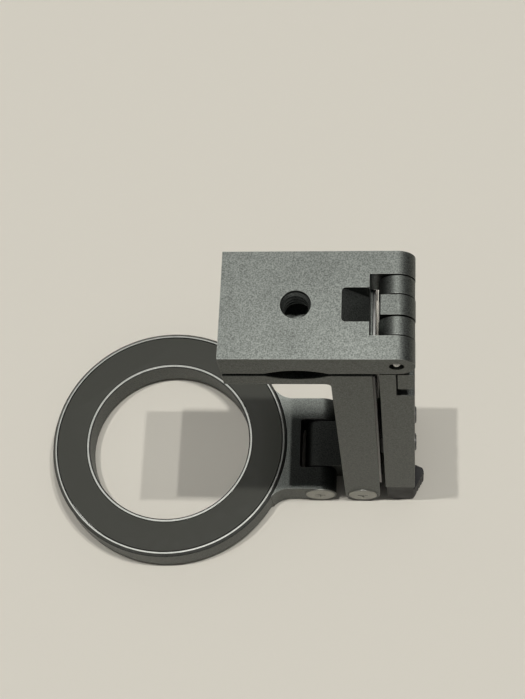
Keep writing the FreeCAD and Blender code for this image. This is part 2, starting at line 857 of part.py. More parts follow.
def end_cap():
    """Foot of the slider, with a thumb tab on the front half of its outer face."""
    body = block(
        "cap_block",
        (f"{PLATE_LEFT} + cap_inset", f"{PLATE_RIGHT} - cap_inset"),
        (f"-({HALF}) + cap_side_gap", f"{HALF} - cap_side_gap"),
        ("0", "plate_foot"),
    )

    def long_foot_edge(p):
        return near(p.z, "0") and not near(p.x, PIN_X, 3)

    rounded = fillet("cap_rounded", body, "cap_round", long_foot_edge)
    tab = doc.addObject("PartDesign::Body", "thumb_tab")
    place(tab)
    front = f"-({HALF}) + cap_side_gap"
    tab_view = outline(
        tab,
        "tab_plan",
        "XY_Plane",
        [
            (PIN_X, front),
            (f"{PLATE_RIGHT} - cap_inset", front),
            (f"{PLATE_RIGHT} + lip_reach", "tab_tip_y"),
            (f"{PLATE_RIGHT} + lip_reach - tab_blunt", "tab_blunt_y"),
            (f"{PLATE_RIGHT} - cap_inset", "tab_rear_y"),
            (PIN_X, "tab_rear_y"),
        ],
        offset="tab_low",
    )
    pad(tab, "tab_extrusion", tab_view, "tab_high - tab_low")
    tools = []
    sink_long = "cap_head_low + cap_head_thick + 1"
    for index, y in enumerate(("-cap_screw_y", "cap_screw_y")):
        start = (PIN_X, y, "-1")
        tools.append(rod(f"cap_hole_{index}", "z", "cap_screw_radius + 0.15", start, "plate_foot + 2"))
        tools.append(rod(f"cap_sink_{index}", "z", "cap_head_radius + 0.2", start, sink_long))
    return node(cut("end_cap", fuse("cap_form", rounded, tab), *tools))


def cap_screws():
    """Two screws from below that hold the end cap on the plate."""
    screws = []
    for index, y in enumerate(("-cap_screw_y", "cap_screw_y")):
        head_start = (PIN_X, y, "cap_head_low")
        shank_start = (PIN_X, y, "cap_head_low + 0.8")
        drive_start = (PIN_X, y, "0")
        head = rod(f"cap_screw_head_{index}", "z", "cap_head_radius", head_start, "cap_head_thick")
        shank = rod(f"cap_screw_shank_{index}", "z", "cap_screw_radius", shank_start, "plate_foot + 2")
        drive_long = "cap_head_low + cap_drive_deep"
        drive = rod(f"cap_screw_drive_{index}", "z", "cap_drive_radius", drive_start, drive_long)
        form = fuse(f"cap_screw_form_{index}", head, shank)
        screws.append(cut(f"cap_screw_{index}", form, drive))
    return node(group("cap_screws", *screws))


def slider():
    slide_plate()
    hinge_insert()
    liner_x = (f"{PLATE_LEFT} - liner_thick", PLATE_LEFT)
    node(block("plate_liner", liner_x, ("-liner_half", "liner_half"), ("liner_foot", PLATE_TOP)))
    slide_follower()
    follower_screws()
    clamp_springs()
    end_cap()
    cap_screws()


# --- release latch ------------------------------------------------------------


def latch():
    """Spring-loaded slab in the plate's corner, with a tongue that guides it."""
    front = f"-({HALF}) + latch_front_gap"
    back = f"-({HALF}) + notch_deep - latch_rear_gap"
    height = ("latch_foot", f"{PLATE_TOP} - latch_top_gap")
    face = f"{PLATE_RIGHT} - latch_face"
    slab = block("latch_slab", (f"{NOTCH_LEFT} + latch_gap", face), (front, back), height)
    tongue_y = (f"{back} - 1", f"{back} + tongue_deep - 0.1")
    tongue = block("latch_tongue", ("tongue_low", "tongue_high"), tongue_y, height)

    def lower_outer_edge(p):
        return near(p.z, "latch_foot") and near(p.x, face)

    form = fuse("latch_form", slab, tongue)
    node(chamfer("release_latch", form, "latch_chamfer", lower_outer_edge))
    ends = ("latch_spring_foot", "latch_foot")
    wire = ("latch_spring_radius", "latch_spring_wire", "latch_spring_pitch")
    node(coil("latch_spring", TONGUE_X, LATCH_Y, *ends, *wire))


# --- mount block ----------------------------------------------------------------


def mount_block():
    body = doc.addObject("PartDesign::Body", "mount_block_form")
    place(body)
    top_view = outline(
        body,
        "block_plan",
        "XY_Plane",
        [
            (BLOCK_LEFT, f"-({HALF})"),
            (PIN_X, f"-({HALF})"),
            (PIN_X, HALF),
            (BLOCK_LEFT, HALF),
        ],
        offset=BLOCK_FOOT,
    )
    pad(body, "block_slab", top_view, "block_thick")
    barrel = rod_across("block_barrel", BLOCK_RADIUS, PIN_X, "pin_height", HALF)
    ramp = doc.addObject("PartDesign::Body", "ramp_cutter")
    place(ramp)
    ramp_view = outline(
        ramp,
        "ramp_side_view",
        "XZ_Plane",
        [
            (f"{PIN_X} - ramp_reach", BLOCK_TOP),
            (f"{PIN_X} - notch_reach + 0.5", f"{BLOCK_TOP} - ramp_deep"),
            (f"{PIN_X} - notch_reach + 0.5", f"{BLOCK_TOP} + 1"),
            (f"{PIN_X} - ramp_reach", f"{BLOCK_TOP} + 1"),
        ],
    )
    pad(ramp, "ramp_wedge", ramp_view, "2 * ramp_half", symmetric=True)
    ramp_rounded = fillet(
        "ramp_rounded",
        ramp,
        "ramp_corner",
        lambda p: near(p.x, f"{PIN_X} - ramp_reach") and near(abs(p.y), "ramp_half"),
    )
    broken = chamfer(
        "block_edges",
        fuse("block_form", body, barrel),
        "block_edge",
        lambda p: near(p.x, BLOCK_LEFT) or (near(abs(p.y), HALF) and p.x < number(PIN_X) + 0.01),
    )
    hole_start = (HOLE_X, "0", f"{BLOCK_FOOT} - 1")
    groove_z = f"{BLOCK_FOOT} - groove_radius + groove_deep"
    tools = [
        block(
            "hinge_notch",
            (f"{PIN_X} - notch_reach", f"{PIN_X} + 10"),
            ("-notch_half", "notch_half"),
            (f"{BLOCK_FOOT} - 1", f"{BLOCK_TOP} + 1"),
        ),
        ramp_rounded,
        rod("thread_hole", "z", "thread_radius", hole_start, "block_thick + 2"),
        rod_across("block_groove", "groove_radius", HOLE_X, groove_z, f"{HALF} + 1"),
        rod_across("block_pin_bore", "hinge_pin_radius", PIN_X, "pin_height", f"{HALF} + 1"),
    ]
    for name, start in (("front", f"-({HALF}) - 1"), ("rear", f"{HALF} - pin_recess_deep")):
        recess_start = (PIN_X, start, "pin_height")
        recess_long = "pin_recess_deep + 1"
        tools.append(rod(f"pin_recess_{name}", "y", "pin_recess_radius", recess_start, recess_long))
    return node(cut("mount_block", broken, *tools))


def hinge_pin():
    pin = rod_across("hinge_pin_rod", "hinge_pin_radius", PIN_X, "pin_height", "hinge_pin_half")
    return node(chamfer("hinge_pin", pin, "hinge_pin_bevel", lambda p: near(abs(p.y), "hinge_pin_half")))


def hinge_spacers():
    pair = []
    thick = "notch_half - knuckle_outer - spacer_gap"
    for name, start in (("front", "-notch_half"), ("rear", "knuckle_outer + spacer_gap")):
        disc = rod(f"spacer_{name}_disc", "y", "spacer_radius", (PIN_X, start, "pin_height"), thick)
        bore_radius = "hinge_pin_radius + hinge_clearance"
        bore = rod_across(f"spacer_{name}_bore", bore_radius, PIN_X, "pin_height", HALF)
        pair.append(cut(f"spacer_{name}", disc, bore))
    return node(group("hinge_spacers", *pair))


# --- make everything, check it and write it -------------------------------------

leg_bracket()
guide_strip()
strip_screws()
leg_pivot()
pivot_link()
ring_head()
slider()
latch()
mount_block()
hinge_pin()
hinge_spacers()
doc.recompute()

for obj in doc.Objects:
    if {"Invalid", "Error"} & set(obj.State):
        raise RuntimeError(f"{obj.Label} failed: {obj.State}")
for piece in nodes:
    if piece.Shape.isNull() or not piece.Shape.isValid() or not piece.Shape.Solids:
        raise RuntimeError(f"{piece.Label} has no valid solid")

os.makedirs("parts", exist_ok=True)
for piece in nodes:
    piece.Shape.exportStep(f"parts/{piece.Label}.step")
    box = piece.Shape.BoundBox
    print(
        f"{piece.Label}: {len(piece.Shape.Solids)} solid(s), {piece.Shape.Volume:.1f} mm3, "
        f"x {box.XMin:.2f}..{box.XMax:.2f} y {box.YMin:.2f}..{box.YMax:.2f} "
        f"z {box.ZMin:.2f}..{box.ZMax:.2f}"
    )
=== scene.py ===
import json
import math

import bmesh
import bpy
from mathutils import Matrix, Vector


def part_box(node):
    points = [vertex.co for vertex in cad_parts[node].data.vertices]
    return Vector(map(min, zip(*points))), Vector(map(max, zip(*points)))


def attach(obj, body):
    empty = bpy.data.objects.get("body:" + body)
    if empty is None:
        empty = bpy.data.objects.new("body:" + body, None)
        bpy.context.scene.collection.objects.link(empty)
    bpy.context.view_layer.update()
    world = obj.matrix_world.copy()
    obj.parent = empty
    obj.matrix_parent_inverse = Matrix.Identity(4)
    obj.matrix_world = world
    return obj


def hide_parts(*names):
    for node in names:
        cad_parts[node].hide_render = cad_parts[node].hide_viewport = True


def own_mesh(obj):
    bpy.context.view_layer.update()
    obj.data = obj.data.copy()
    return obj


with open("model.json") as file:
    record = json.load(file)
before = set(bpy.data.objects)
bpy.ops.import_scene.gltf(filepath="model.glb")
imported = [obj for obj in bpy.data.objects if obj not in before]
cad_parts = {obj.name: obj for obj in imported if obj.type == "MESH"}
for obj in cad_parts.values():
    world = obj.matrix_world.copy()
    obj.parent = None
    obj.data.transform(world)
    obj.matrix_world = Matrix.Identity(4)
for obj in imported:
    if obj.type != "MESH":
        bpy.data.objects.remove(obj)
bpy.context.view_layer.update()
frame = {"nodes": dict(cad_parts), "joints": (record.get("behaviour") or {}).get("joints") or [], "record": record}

MM = 0.001
NODES = frame["nodes"]
MOUNTS = {mount["name"]: mount for mount in frame["record"]["mounts"]}
JOINTS = {joint["name"]: joint for joint in frame["joints"]}


# --- places in millimetres, read from the frame where it gives them -----------------


def box_mm(node):
    """A CAD node's lowest and highest corners."""
    low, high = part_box(node)
    return low / MM, high / MM


def joint_mm(name):
    return Vector(JOINTS[name]["pos_m"]) / MM


BLOCK_LOW, BLOCK_HIGH = box_mm("mount_block")
LEG_LOW, LEG_HIGH = box_mm("leg_bracket")
PLATE_LOW = box_mm("slide_plate")[0]
RING_LOW, RING_HIGH = box_mm("ring_housing")
PAD_LOW, PAD_HIGH = box_mm("ring_pad")
LINK_LOW, LINK_HIGH = box_mm("pivot_link")
CAP_LOW, CAP_HIGH = box_mm("end_cap")
LATCH_LOW, LATCH_HIGH = box_mm("release_latch")
INSERT_LOW, INSERT_HIGH = box_mm("hinge_insert")
LEG_AXIS = joint_mm("link_tilt")
RING_AXIS = joint_mm("ring_tilt")
PIN_AXIS = joint_mm("block_fold")
HOLE = Vector(MOUNTS["tripod_thread"]["pos_m"]) / MM
HOLE_RADIUS = MOUNTS["tripod_thread"]["dims"]["r_mm"]
RING_REACH = 39.7
RING_CENTRE = RING_AXIS - Vector((RING_REACH, 0, 0))
HALF = BLOCK_HIGH.y
SHELF_TOP = LEG_HIGH.z
BLOCK_FOOT = BLOCK_LOW.z
BARREL = (LINK_HIGH.z - LINK_LOW.z) / 2
HOLE_IN_RING = 21.0
RING_INSIDE = 0.003
RING_RADIUS = RING_CENTRE.x - RING_LOW.x - RING_INSIDE
INNER_LAND = 0.9
OUTER_LAND = 1.2
LAND_DEEP = 0.5
BLACK_EDGE = 0.25


# --- camera, light and floor ------------------------------------------------------

CAMERA_TARGET = Vector((14.6, -8.6, 89.2)) * MM
CAMERA_DISTANCE = 323 * MM
CAMERA_DOWN = math.radians(65.83)
CAMERA_TURN = math.radians(14.16)
CAMERA_ROLL = math.radians(-12.92)
CAMERA_LENS = 79.2
CAMERA_NEAR = 0.01


def make_camera():
    """Looks down on the mount from the front and a little from its right."""
    data = bpy.data.cameras.new("camera")
    data.lens = CAMERA_LENS
    data.clip_start = CAMERA_NEAR
    camera = bpy.data.objects.new("camera", data)
    ahead = Vector((-math.sin(CAMERA_TURN), math.cos(CAMERA_TURN), 0))
    forward = ahead * math.cos(CAMERA_DOWN) - Vector((0, 0, math.sin(CAMERA_DOWN)))
    level = Vector((math.cos(CAMERA_TURN), math.sin(CAMERA_TURN), 0))
    upright = level.cross(forward)
    right = level * math.cos(CAMERA_ROLL) + upright * math.sin(CAMERA_ROLL)
    up = right.cross(forward)
    turn = Matrix((right, up, -forward)).transposed().to_4x4()
    camera.matrix_world = Matrix.Translation(CAMERA_TARGET - forward * CAMERA_DISTANCE) @ turn
    bpy.context.scene.collection.objects.link(camera)
    bpy.context.scene.camera = camera


# name, lean towards +X and +Y from straight overhead in degrees, strength
LAMPS = (
    ("lamp_right_far", 18.7, 0.4, 0.82),
    ("lamp_right_near", 13.1, -0.2, 0.78),
    ("lamp_left", -7, -0.5, 1.0),
)
LAMP_SIZE = 0.7
GLOSS_LAMP = ("lamp_gloss", -2, 2, 3.3)
GLOSS_SIZE = 6
LAMP_AWAY = 0.6
LAMP_COLOUR = (1.0, 0.985, 0.945)
ROOM_COLOUR = (1.0, 0.985, 0.95)
ROOM_STRENGTH = 0.17
FLOOR_COLOUR = (0.64, 0.615, 0.555)
FLOOR_ROUGHNESS = 0.7
FLOOR_SPECULAR = 0.2
FLOOR_REACH = 2.0
FLOOR_BELOW = 0.02 * MM


def make_lamp(name, lean_x, lean_y, strength, size):
    data = bpy.data.lights.new(name, "SUN")
    data.energy = strength
    data.angle = math.radians(size)
    data.color = LAMP_COLOUR
    lamp = bpy.data.objects.new(name, data)
    towards = Vector((math.tan(math.radians(lean_x)), math.tan(math.radians(lean_y)), 1))
    lamp.rotation_euler = towards.to_track_quat("Z", "Y").to_euler()
    lamp.location = towards * LAMP_AWAY
    bpy.context.scene.collection.objects.link(lamp)
    return lamp


def make_light():
    """Three lamps overhead, a softer one that lights gloss but not diffuse colour, and a dim room."""
    for lamp in LAMPS:
        make_lamp(*lamp, LAMP_SIZE)
    make_lamp(*GLOSS_LAMP, GLOSS_SIZE).visible_diffuse = False
    world = bpy.data.worlds.new("room")
    world.use_nodes = True
    background = world.node_tree.nodes["Background"]
    background.inputs["Color"].default_value = (*ROOM_COLOUR, 1)
    background.inputs["Strength"].default_value = ROOM_STRENGTH
    bpy.context.scene.world = world
    bpy.context.scene.view_settings.view_transform = "Standard"


def make_floor():
    shape = bmesh.new()
    bmesh.ops.create_grid(shape, x_segments=1, y_segments=1, size=FLOOR_REACH)
    mesh = bpy.data.meshes.new("floor")
    shape.to_mesh(mesh)
    shape.free()
    floor = bpy.data.objects.new("floor", mesh)
    floor.location.z = -FLOOR_BELOW
    bpy.context.scene.collection.objects.link(floor)
    paint = bpy.data.materials.new("floor_paint")
    paint.use_nodes = True
    surface = paint.node_tree.nodes["Principled BSDF"]
    surface.inputs["Base Color"].default_value = (*FLOOR_COLOUR, 1)
    surface.inputs["Roughness"].default_value = FLOOR_ROUGHNESS
    surface.inputs["Specular IOR Level"].default_value = FLOOR_SPECULAR
    floor.data.materials.append(paint)


# --- materials ------------------------------------------------------------------------


class Paint:
    """A procedural material, made socket by socket."""

    def __init__(self, name, metallic, colour, roughness, specular=0.5):
        self.material = bpy.data.materials.new(name)
        self.material.use_nodes = True
        self.tree = self.material.node_tree
        self.surface = self.tree.nodes["Principled BSDF"]
        self.surface.inputs["Metallic"].default_value = metallic
        self.surface.inputs["Specular IOR Level"].default_value = specular
        self.surface.inputs["Base Color"].default_value = (*colour, 1)
        self.surface.inputs["Roughness"].default_value = roughness
        self.colour = colour
        self.place = self.add("ShaderNodeTexCoord").outputs["Object"]

    def add(self, kind, inputs=None, **settings):
        node = self.tree.nodes.new(kind)
        for key, value in settings.items():
            setattr(node, key, value)
        for key, value in (inputs or {}).items():
            if isinstance(value, bpy.types.NodeSocket):
                self.tree.links.new(value, node.inputs[key])
            else:
                node.inputs[key].default_value = value
        return node

    def stretched(self, scale):
        """The piece's own coordinates, scaled so that noise is drawn out where the scale is small."""
        return self.add("ShaderNodeMapping", {"Vector": self.place, "Scale": scale}).outputs["Vector"]

    def noise(self, size_mm, detail=2.0, vector=None):
        """Noise whose grains are about this many millimetres across, from 0 to 1."""
        inputs = {"Vector": vector or self.place, "Scale": 1 / (size_mm * MM), "Detail": detail}
        return self.add("ShaderNodeTexNoise", inputs).outputs["Fac"]

    def cells(self, size_mm):
        inputs = {"Vector": self.place, "Scale": 1 / (size_mm * MM)}
        return self.add("ShaderNodeTexVoronoi", inputs).outputs["Distance"]

    def spread(self, value, low, high, from_low=0.3, from_high=0.7):
        """The value moved from its usual range to low..high."""
        inputs = {"Value": value, "From Min": from_low, "From Max": from_high, "To Min": low, "To Max": high}
        return self.add("ShaderNodeMapRange", inputs).outputs["Result"]

    def calc(self, first, second, operation="MULTIPLY"):
        return self.add("ShaderNodeMath", {0: first, 1: second}, operation=operation).outputs["Value"]

    def shade(self, brightness):
        """The base colour made lighter and darker by a value about 1."""
        inputs = {"Vector": self.colour, "Scale": brightness}
        node = self.add("ShaderNodeVectorMath", inputs, operation="SCALE")
        return node.outputs["Vector"]

    def mix(self, factor, first, second):
        node = self.add("ShaderNodeMix", data_type="RGBA")
        for socket, value in ((node.inputs[0], factor), (node.inputs[6], first), (node.inputs[7], second)):
            if isinstance(value, bpy.types.NodeSocket):
                self.tree.links.new(value, socket)
            else:
                socket.default_value = (*value, 1) if len(value) == 3 else value
        return node.outputs[2]

    def edges(self, radius_mm):
        """1 at a convex or concave edge and 0 on the faces."""
        soft = self.add("ShaderNodeBevel", {"Radius": radius_mm * MM}, samples=4).outputs["Normal"]
        true = self.add("ShaderNodeNewGeometry").outputs["True Normal"]
        same = self.add("ShaderNodeVectorMath", {0: soft, 1: true}, operation="DOT_PRODUCT").outputs["Value"]
        return self.spread(same, 1.0, 0.0, 0.90, 0.995)

    def bump(self, height, depth_mm, strength=1.0, normal=None):
        inputs = {"Height": height, "Distance": depth_mm * MM, "Strength": strength}
        if normal:
            inputs["Normal"] = normal
        return self.add("ShaderNodeBump", inputs).outputs["Normal"]

    def finish(self, colour=None, roughness=None, normal=None):
        for name, value in (("Base Color", colour), ("Roughness", roughness), ("Normal", normal)):
            if value:
                self.tree.links.new(value, self.surface.inputs[name])
        return self.material


ALUMINIUM = (0.081, 0.087, 0.082)
WORN_EDGE = (0.20, 0.205, 0.195)
BARE_LAND = (0.145, 0.147, 0.140)
GRAIN_MM = 0.30
FINE_GRAIN_MM = 0.16
PATCH_MM = 9.0
EDGE_MM = 0.22
SCUFF_MM = 1.3


def anodised_aluminium(name, lands):
    """Bead-blasted and dyed: sparkling grain, soft patches, and worn edges or bare lands."""
    paint = Paint(name, 1.0, ALUMINIUM, 0.44)
    grain = paint.noise(GRAIN_MM, 2.5)
    fine = paint.noise(FINE_GRAIN_MM, 1.0)
    patches = paint.noise(PATCH_MM, 3.0)
    tint = paint.calc(paint.spread(grain, 0.60, 1.50), paint.spread(patches, 0.94, 1.06))
    if lands:
        bare, bright = turned_lands(paint), BARE_LAND
    else:
        scuffs = paint.spread(paint.noise(SCUFF_MM, 4.0), 0.15, 0.85)
        bare, bright = paint.calc(paint.edges(EDGE_MM), scuffs), WORN_EDGE
    return paint.finish(
        colour=paint.mix(bare, paint.shade(tint), bright),
        roughness=paint.calc(paint.spread(fine, 0.40, 0.50), paint.spread(patches, 0.97, 1.04)),
        normal=paint.bump(grain, 0.014, 0.9, paint.bump(fine, 0.004, 0.8)),
    )


def turned_lands(paint):
    """1 on the ring's two narrow bare lands beside the pad; the piece's origin is its centre."""
    level = paint.add("ShaderNodeVectorMath", {0: paint.place, 1: (1, 1, 0)}, operation="MULTIPLY")
    flat = level.outputs["Vector"]
    radius = paint.add("ShaderNodeVectorMath", {0: flat}, operation="LENGTH").outputs["Value"]
    height = paint.add("ShaderNodeSeparateXYZ", {0: paint.place}).outputs["Z"]
    inner = paint.calc(radius, (HOLE_IN_RING + INNER_LAND) * MM, "LESS_THAN")
    outer = paint.calc(radius, (RING_RADIUS - OUTER_LAND) * MM, "GREATER_THAN")
    high = paint.calc(height, -LAND_DEEP * MM, "GREATER_THAN")
    scuffed = paint.spread(paint.noise(1.8, 4.0), 0.55, 1.0)
    return paint.calc(paint.calc(paint.calc(inner, outer, "MAXIMUM"), high), scuffed)


def strip_steel(name):
    """Polished strip whose cut edges are coloured near-black."""
    paint = Paint(name, 1.0, (0.86, 0.86, 0.84), 0.16)
    lines = paint.noise(0.08, 3.0, paint.stretched((1.0, 1.0, 0.04)))
    sideways = paint.add("ShaderNodeSeparateXYZ", {0: paint.place}).outputs["Y"]
    across = paint.calc(sideways, 0.0, "ABSOLUTE")
    # near-black colour on a band of width BLACK_EDGE along each cut edge of the strip
    black = paint.calc(across, (HALF - BLACK_EDGE) * MM, "GREATER_THAN")
    return paint.finish(
        colour=paint.mix(black, paint.shade(paint.spread(lines, 0.90, 1.08)), (0.03, 0.03, 0.03)),
        roughness=paint.spread(lines, 0.12, 0.22),
        normal=paint.bump(lines, 0.0012, 0.6),
    )


def fine_metal(name, colour, roughness):
    """Plated, oiled or drawn metal: a very fine even grain, with smudges."""
    paint = Paint(name, 1.0, colour, roughness)
    grain = paint.noise(0.08, 3.0)
    smudges = paint.noise(5.0, 3.0)
    tone = paint.calc(paint.spread(grain, 0.90, 1.08), paint.spread(smudges, 0.95, 1.04))
    rough = paint.spread(grain, roughness * 0.85, roughness * 1.15)
    return paint.finish(
        colour=paint.shade(tone),
        roughness=paint.calc(rough, paint.spread(smudges, 0.9, 1.1)),
        normal=paint.bump(grain, 0.0012, 0.6),
    )


def turned_metal(name, colour, roughness):
    """Faced on a lathe: rings about the piece's own Y axis, a fine grain, and lighter worn edges."""
    paint = Paint(name, 0.9, colour, roughness)
    wave = {"Vector": paint.place, "Scale": 1 / (0.9 * MM)}
    wave.update({"Distortion": 0.6, "Detail": 2.0, "Detail Scale": 3.0})
    rings = paint.add("ShaderNodeTexWave", wave, wave_type="RINGS", rings_direction="Y").outputs["Fac"]
    grain = paint.noise(0.25, 3.0)
    wear = paint.calc(paint.edges(0.15), paint.spread(grain, 0.3, 0.9))
    tone = paint.calc(paint.spread(rings, 0.92, 1.06, 0.0, 1.0), paint.spread(grain, 0.84, 1.14))
    return paint.finish(
        colour=paint.mix(wear, paint.shade(tone), (0.62, 0.62, 0.6)),
        roughness=paint.spread(grain, roughness * 0.85, roughness * 1.2),
        normal=paint.bump(rings, 0.004, 0.5, paint.bump(grain, 0.003, 0.5)),
    )


def moulded_plastic(name, colour, roughness, grain_mm=0.22, depth_mm=0.008):
    """Moulded with a spark-eroded texture, rubbed a little smoother in patches."""
    paint = Paint(name, 0.0, colour, roughness, specular=0.25)
    pits = paint.cells(grain_mm)
    rubbed = paint.noise(4.0, 3.0)
    wear = paint.calc(paint.edges(0.2), paint.spread(rubbed, 0.1, 0.5))
    lighter = tuple(min(1.0, channel * 1.8 + 0.02) for channel in colour)
    return paint.finish(
        colour=paint.mix(wear, paint.shade(paint.spread(pits, 0.9, 1.15, 0.1, 0.7)), lighter),
        roughness=paint.spread(rubbed, roughness * 0.85, roughness * 1.1),
        normal=paint.bump(pits, depth_mm, 0.7),
    )


def soft_pad(name, colour):
    """Soft-touch silicone: even and matt, with faint dust and a very fine tooth."""
    paint = Paint(name, 0.0, colour, 0.72, specular=0.12)
    tooth = paint.noise(0.12, 2.0)
    dust = paint.noise(2.2, 5.0)
    return paint.finish(
        colour=paint.shade(paint.calc(paint.spread(tooth, 0.95, 1.05), paint.spread(dust, 0.97, 1.05))),
        roughness=paint.spread(dust, 0.66, 0.80),
        normal=paint.bump(tooth, 0.004, 0.5),
    )


# how each material is made, its name, and its settings
FINISHES = (
    (anodised_aluminium, "anodised_aluminium", False),
    (anodised_aluminium, "ring_aluminium", True),
    (strip_steel, "strip_steel"),
    (turned_metal, "pin_steel", (0.5, 0.5, 0.48), 0.36),
    (turned_metal, "pivot_steel", (0.30, 0.30, 0.275), 0.42),
    (fine_metal, "fastener_steel", (0.12, 0.12, 0.12), 0.36),
    (fine_metal, "spring_steel", (0.52, 0.52, 0.50), 0.30),
    (fine_metal, "magnet_nickel", (0.62, 0.60, 0.55), 0.22),
    (fine_metal, "shunt_steel", (0.40, 0.40, 0.39), 0.34),
    (moulded_plastic, "washer_plastic", (0.02, 0.02, 0.02), 0.5, 0.12, 0.003),
    (moulded_plastic, "liner_plastic", (0.30, 0.28, 0.25), 0.42, 0.12, 0.003),
    (moulded_plastic, "follower_plastic", (0.03, 0.03, 0.03), 0.45),
    (moulded_plastic, "black_plastic", (0.006, 0.006, 0.007), 0.5),
    (soft_pad, "pad_silicone", (0.050, 0.0515, 0.0445)),
)


def make_materials():
    """One material for each slot in use, and three that differ from their slot's usual finish."""
    return {name: maker(name, *settings) for maker, name, *settings in FINISHES}


MATERIALS = make_materials()
SLOTS = {row["node"]: row["material_slot"] for row in frame["record"]["subparts"]}


# --- mesh kit: all shapes are made in millimetres --------------------------------------

PLANS = {"x": (1, 2, 0), "y": (0, 2, 1), "z": (0, 1, 2)}


def as_object(shape, name="shape"):
    bmesh.ops.recalc_face_normals(shape, faces=shape.faces)
    mesh = bpy.data.meshes.new(name)
    shape.to_mesh(mesh)
    shape.free()
    made = bpy.data.objects.new(name, mesh)
    bpy.context.scene.collection.objects.link(made)
    return made


def discard(made):
    mesh = made.data
    bpy.data.objects.remove(made)
    bpy.data.meshes.remove(mesh)


def prism(corners, axis, low, high):
    """An outline pushed along one axis. Its corners are (x, y), (x, z) or (y, z)."""
    u, v, along = PLANS[axis]
    shape = bmesh.new()
    ends = []
    for level in (low, high):
        loop = []
        for corner in corners:
            point = [0.0, 0.0, 0.0]
            point[u], point[v], point[along] = corner[0], corner[1], level
            loop.append(shape.verts.new(point))
        ends.append(loop)
        shape.faces.new(loop)
    for index in range(len(corners)):
        shape.faces.new((ends[0][index - 1], ends[0][index], ends[1][index], ends[1][index - 1]))
    return as_object(shape)


def arc(centre, radius, start, end, steps):
    """Points along an arc, with its angles in degrees."""
    points = []
    for step in range(steps + 1):
        angle = math.radians(start + (end - start) * step / steps)
        points.append((centre[0] + radius * math.cos(angle), centre[1] + radius * math.sin(angle)))
    return points


def circle(centre, radius, steps):
    return arc(centre, radius, 0, 360, steps)[:-1]


def rounded(corners, steps):
    """A polygon's points, with an arc at each corner (x, y, radius) whose radius isn't 0."""
    points = []
    for index, (x, y, radius) in enumerate(corners):
        here = Vector((x, y))
        if not radius:
            points.append(tuple(here))
            continue
        back = (Vector(corners[index - 1][:2]) - here).normalized()
        ahead = (Vector(corners[(index + 1) % len(corners)][:2]) - here).normalized()
        half = back.angle(ahead) / 2
        centre = here + (back + ahead).normalized() * (radius / math.sin(half))
        first = here + back * (radius / math.tan(half)) - centre
        last = here + ahead * (radius / math.tan(half)) - centre
        start = math.degrees(math.atan2(first.y, first.x))
        turn = (math.degrees(math.atan2(last.y, last.x)) - start + 180) % 360 - 180
        points += arc(centre, radius, start, start + turn, steps)
    return points


def slab(x, y, z):
    """A rectangular cutter or blank between pairs of coordinates."""
    return prism([(x[0], y[0]), (x[1], y[0]), (x[1], y[1]), (x[0], y[1])], "z", *z)


def rod(axis, centre, radius, low, high, steps):
    """A round cutter or blank about a line; centre is in the plan of that axis."""
    return prism(circle(centre, radius, steps), axis, low, high)


def lathe(profile, axis, centre, steps):
    """A profile of (radius, height) corners turned about a line through centre."""
    u, v, along = PLANS[axis]
    shape = bmesh.new()
    columns = []
    poles = {}
    for index, (radius, height) in enumerate(profile):
        if radius == 0:
            point = [0.0, 0.0, 0.0]
            point[u], point[v], point[along] = centre[0], centre[1], height
            poles[index] = shape.verts.new(point)
    for step in range(steps):
        angle = 2 * math.pi * step / steps
        column = []
        for index, (radius, height) in enumerate(profile):
            if index in poles:
                column.append(poles[index])
                continue
            point = [0.0, 0.0, 0.0]
            point[u] = centre[0] + radius * math.cos(angle)
            point[v] = centre[1] + radius * math.sin(angle)
            point[along] = height
            column.append(shape.verts.new(point))
        columns.append(column)
    for step in range(steps):
        here, there = columns[step - 1], columns[step]
        for index in range(len(profile)):
            corners = [here[index - 1], here[index], there[index], there[index - 1]]
            corners = list(dict.fromkeys(corners))
            if len(corners) > 2:
                shape.faces.new(corners)
    return as_object(shape)


def combine(base, operation, *tools):
    """The base with every tool added to it or cut from it."""
    for tool in tools:
        change = base.modifiers.new("change", "BOOLEAN")
        change.operation = operation
        change.solver = "EXACT"
        change.object = tool
    bpy.context.view_layer.update()
    depsgraph = bpy.context.evaluated_depsgraph_get()
    mesh = bpy.data.meshes.new_from_object(base.evaluated_get(depsgraph))
    base.modifiers.clear()
    old = base.data
    base.data = mesh
    bpy.data.meshes.remove(old)
    for tool in tools:
        discard(tool)
    return base


def join(base, *tools):
    return combine(base, "UNION", *tools)


def cut(base, *tools):
    return combine(base, "DIFFERENCE", *tools)


MERGE_MM = 0.002
SLIVER_MM = 0.001
FLAT_ANGLE = math.radians(0.05)


def clean(made):
    """Drops the doubled points and the seams that the cuts leave inside flat faces."""
    shape = bmesh.new()
    shape.from_mesh(made.data)
    bmesh.ops.remove_doubles(shape, verts=shape.verts, dist=MERGE_MM)
    bmesh.ops.dissolve_degenerate(shape, edges=shape.edges, dist=SLIVER_MM)
    bmesh.ops.dissolve_limit(shape, angle_limit=FLAT_ANGLE, verts=shape.verts, edges=shape.edges)
    bmesh.ops.recalc_face_normals(shape, faces=shape.faces)
    shape.to_mesh(made.data)
    shape.free()


def piece(made, name, body, slot, *replaced, edge=0.0, segments=2, origin=None, sharp=35, paint=None):
    """Turns a finished shape into a named piece: metres, soft edges, its material and its body."""
    made.name = name
    made.data.name = name
    clean(made)
    origin = Vector(origin or (0, 0, 0))
    made.data.transform(Matrix.Scale(MM, 4) @ Matrix.Translation(-origin))
    made.location = origin * MM
    made.data.shade_smooth()
    if edge:
        soften(made, edge, segments, sharp)
    else:
        made.data.set_sharp_from_angle(angle=math.radians(sharp))
    made.data.materials.clear()
    made.data.materials.append(MATERIALS[paint or slot])
    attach(made, body)
    if replaced:
        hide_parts(*replaced)
    return made


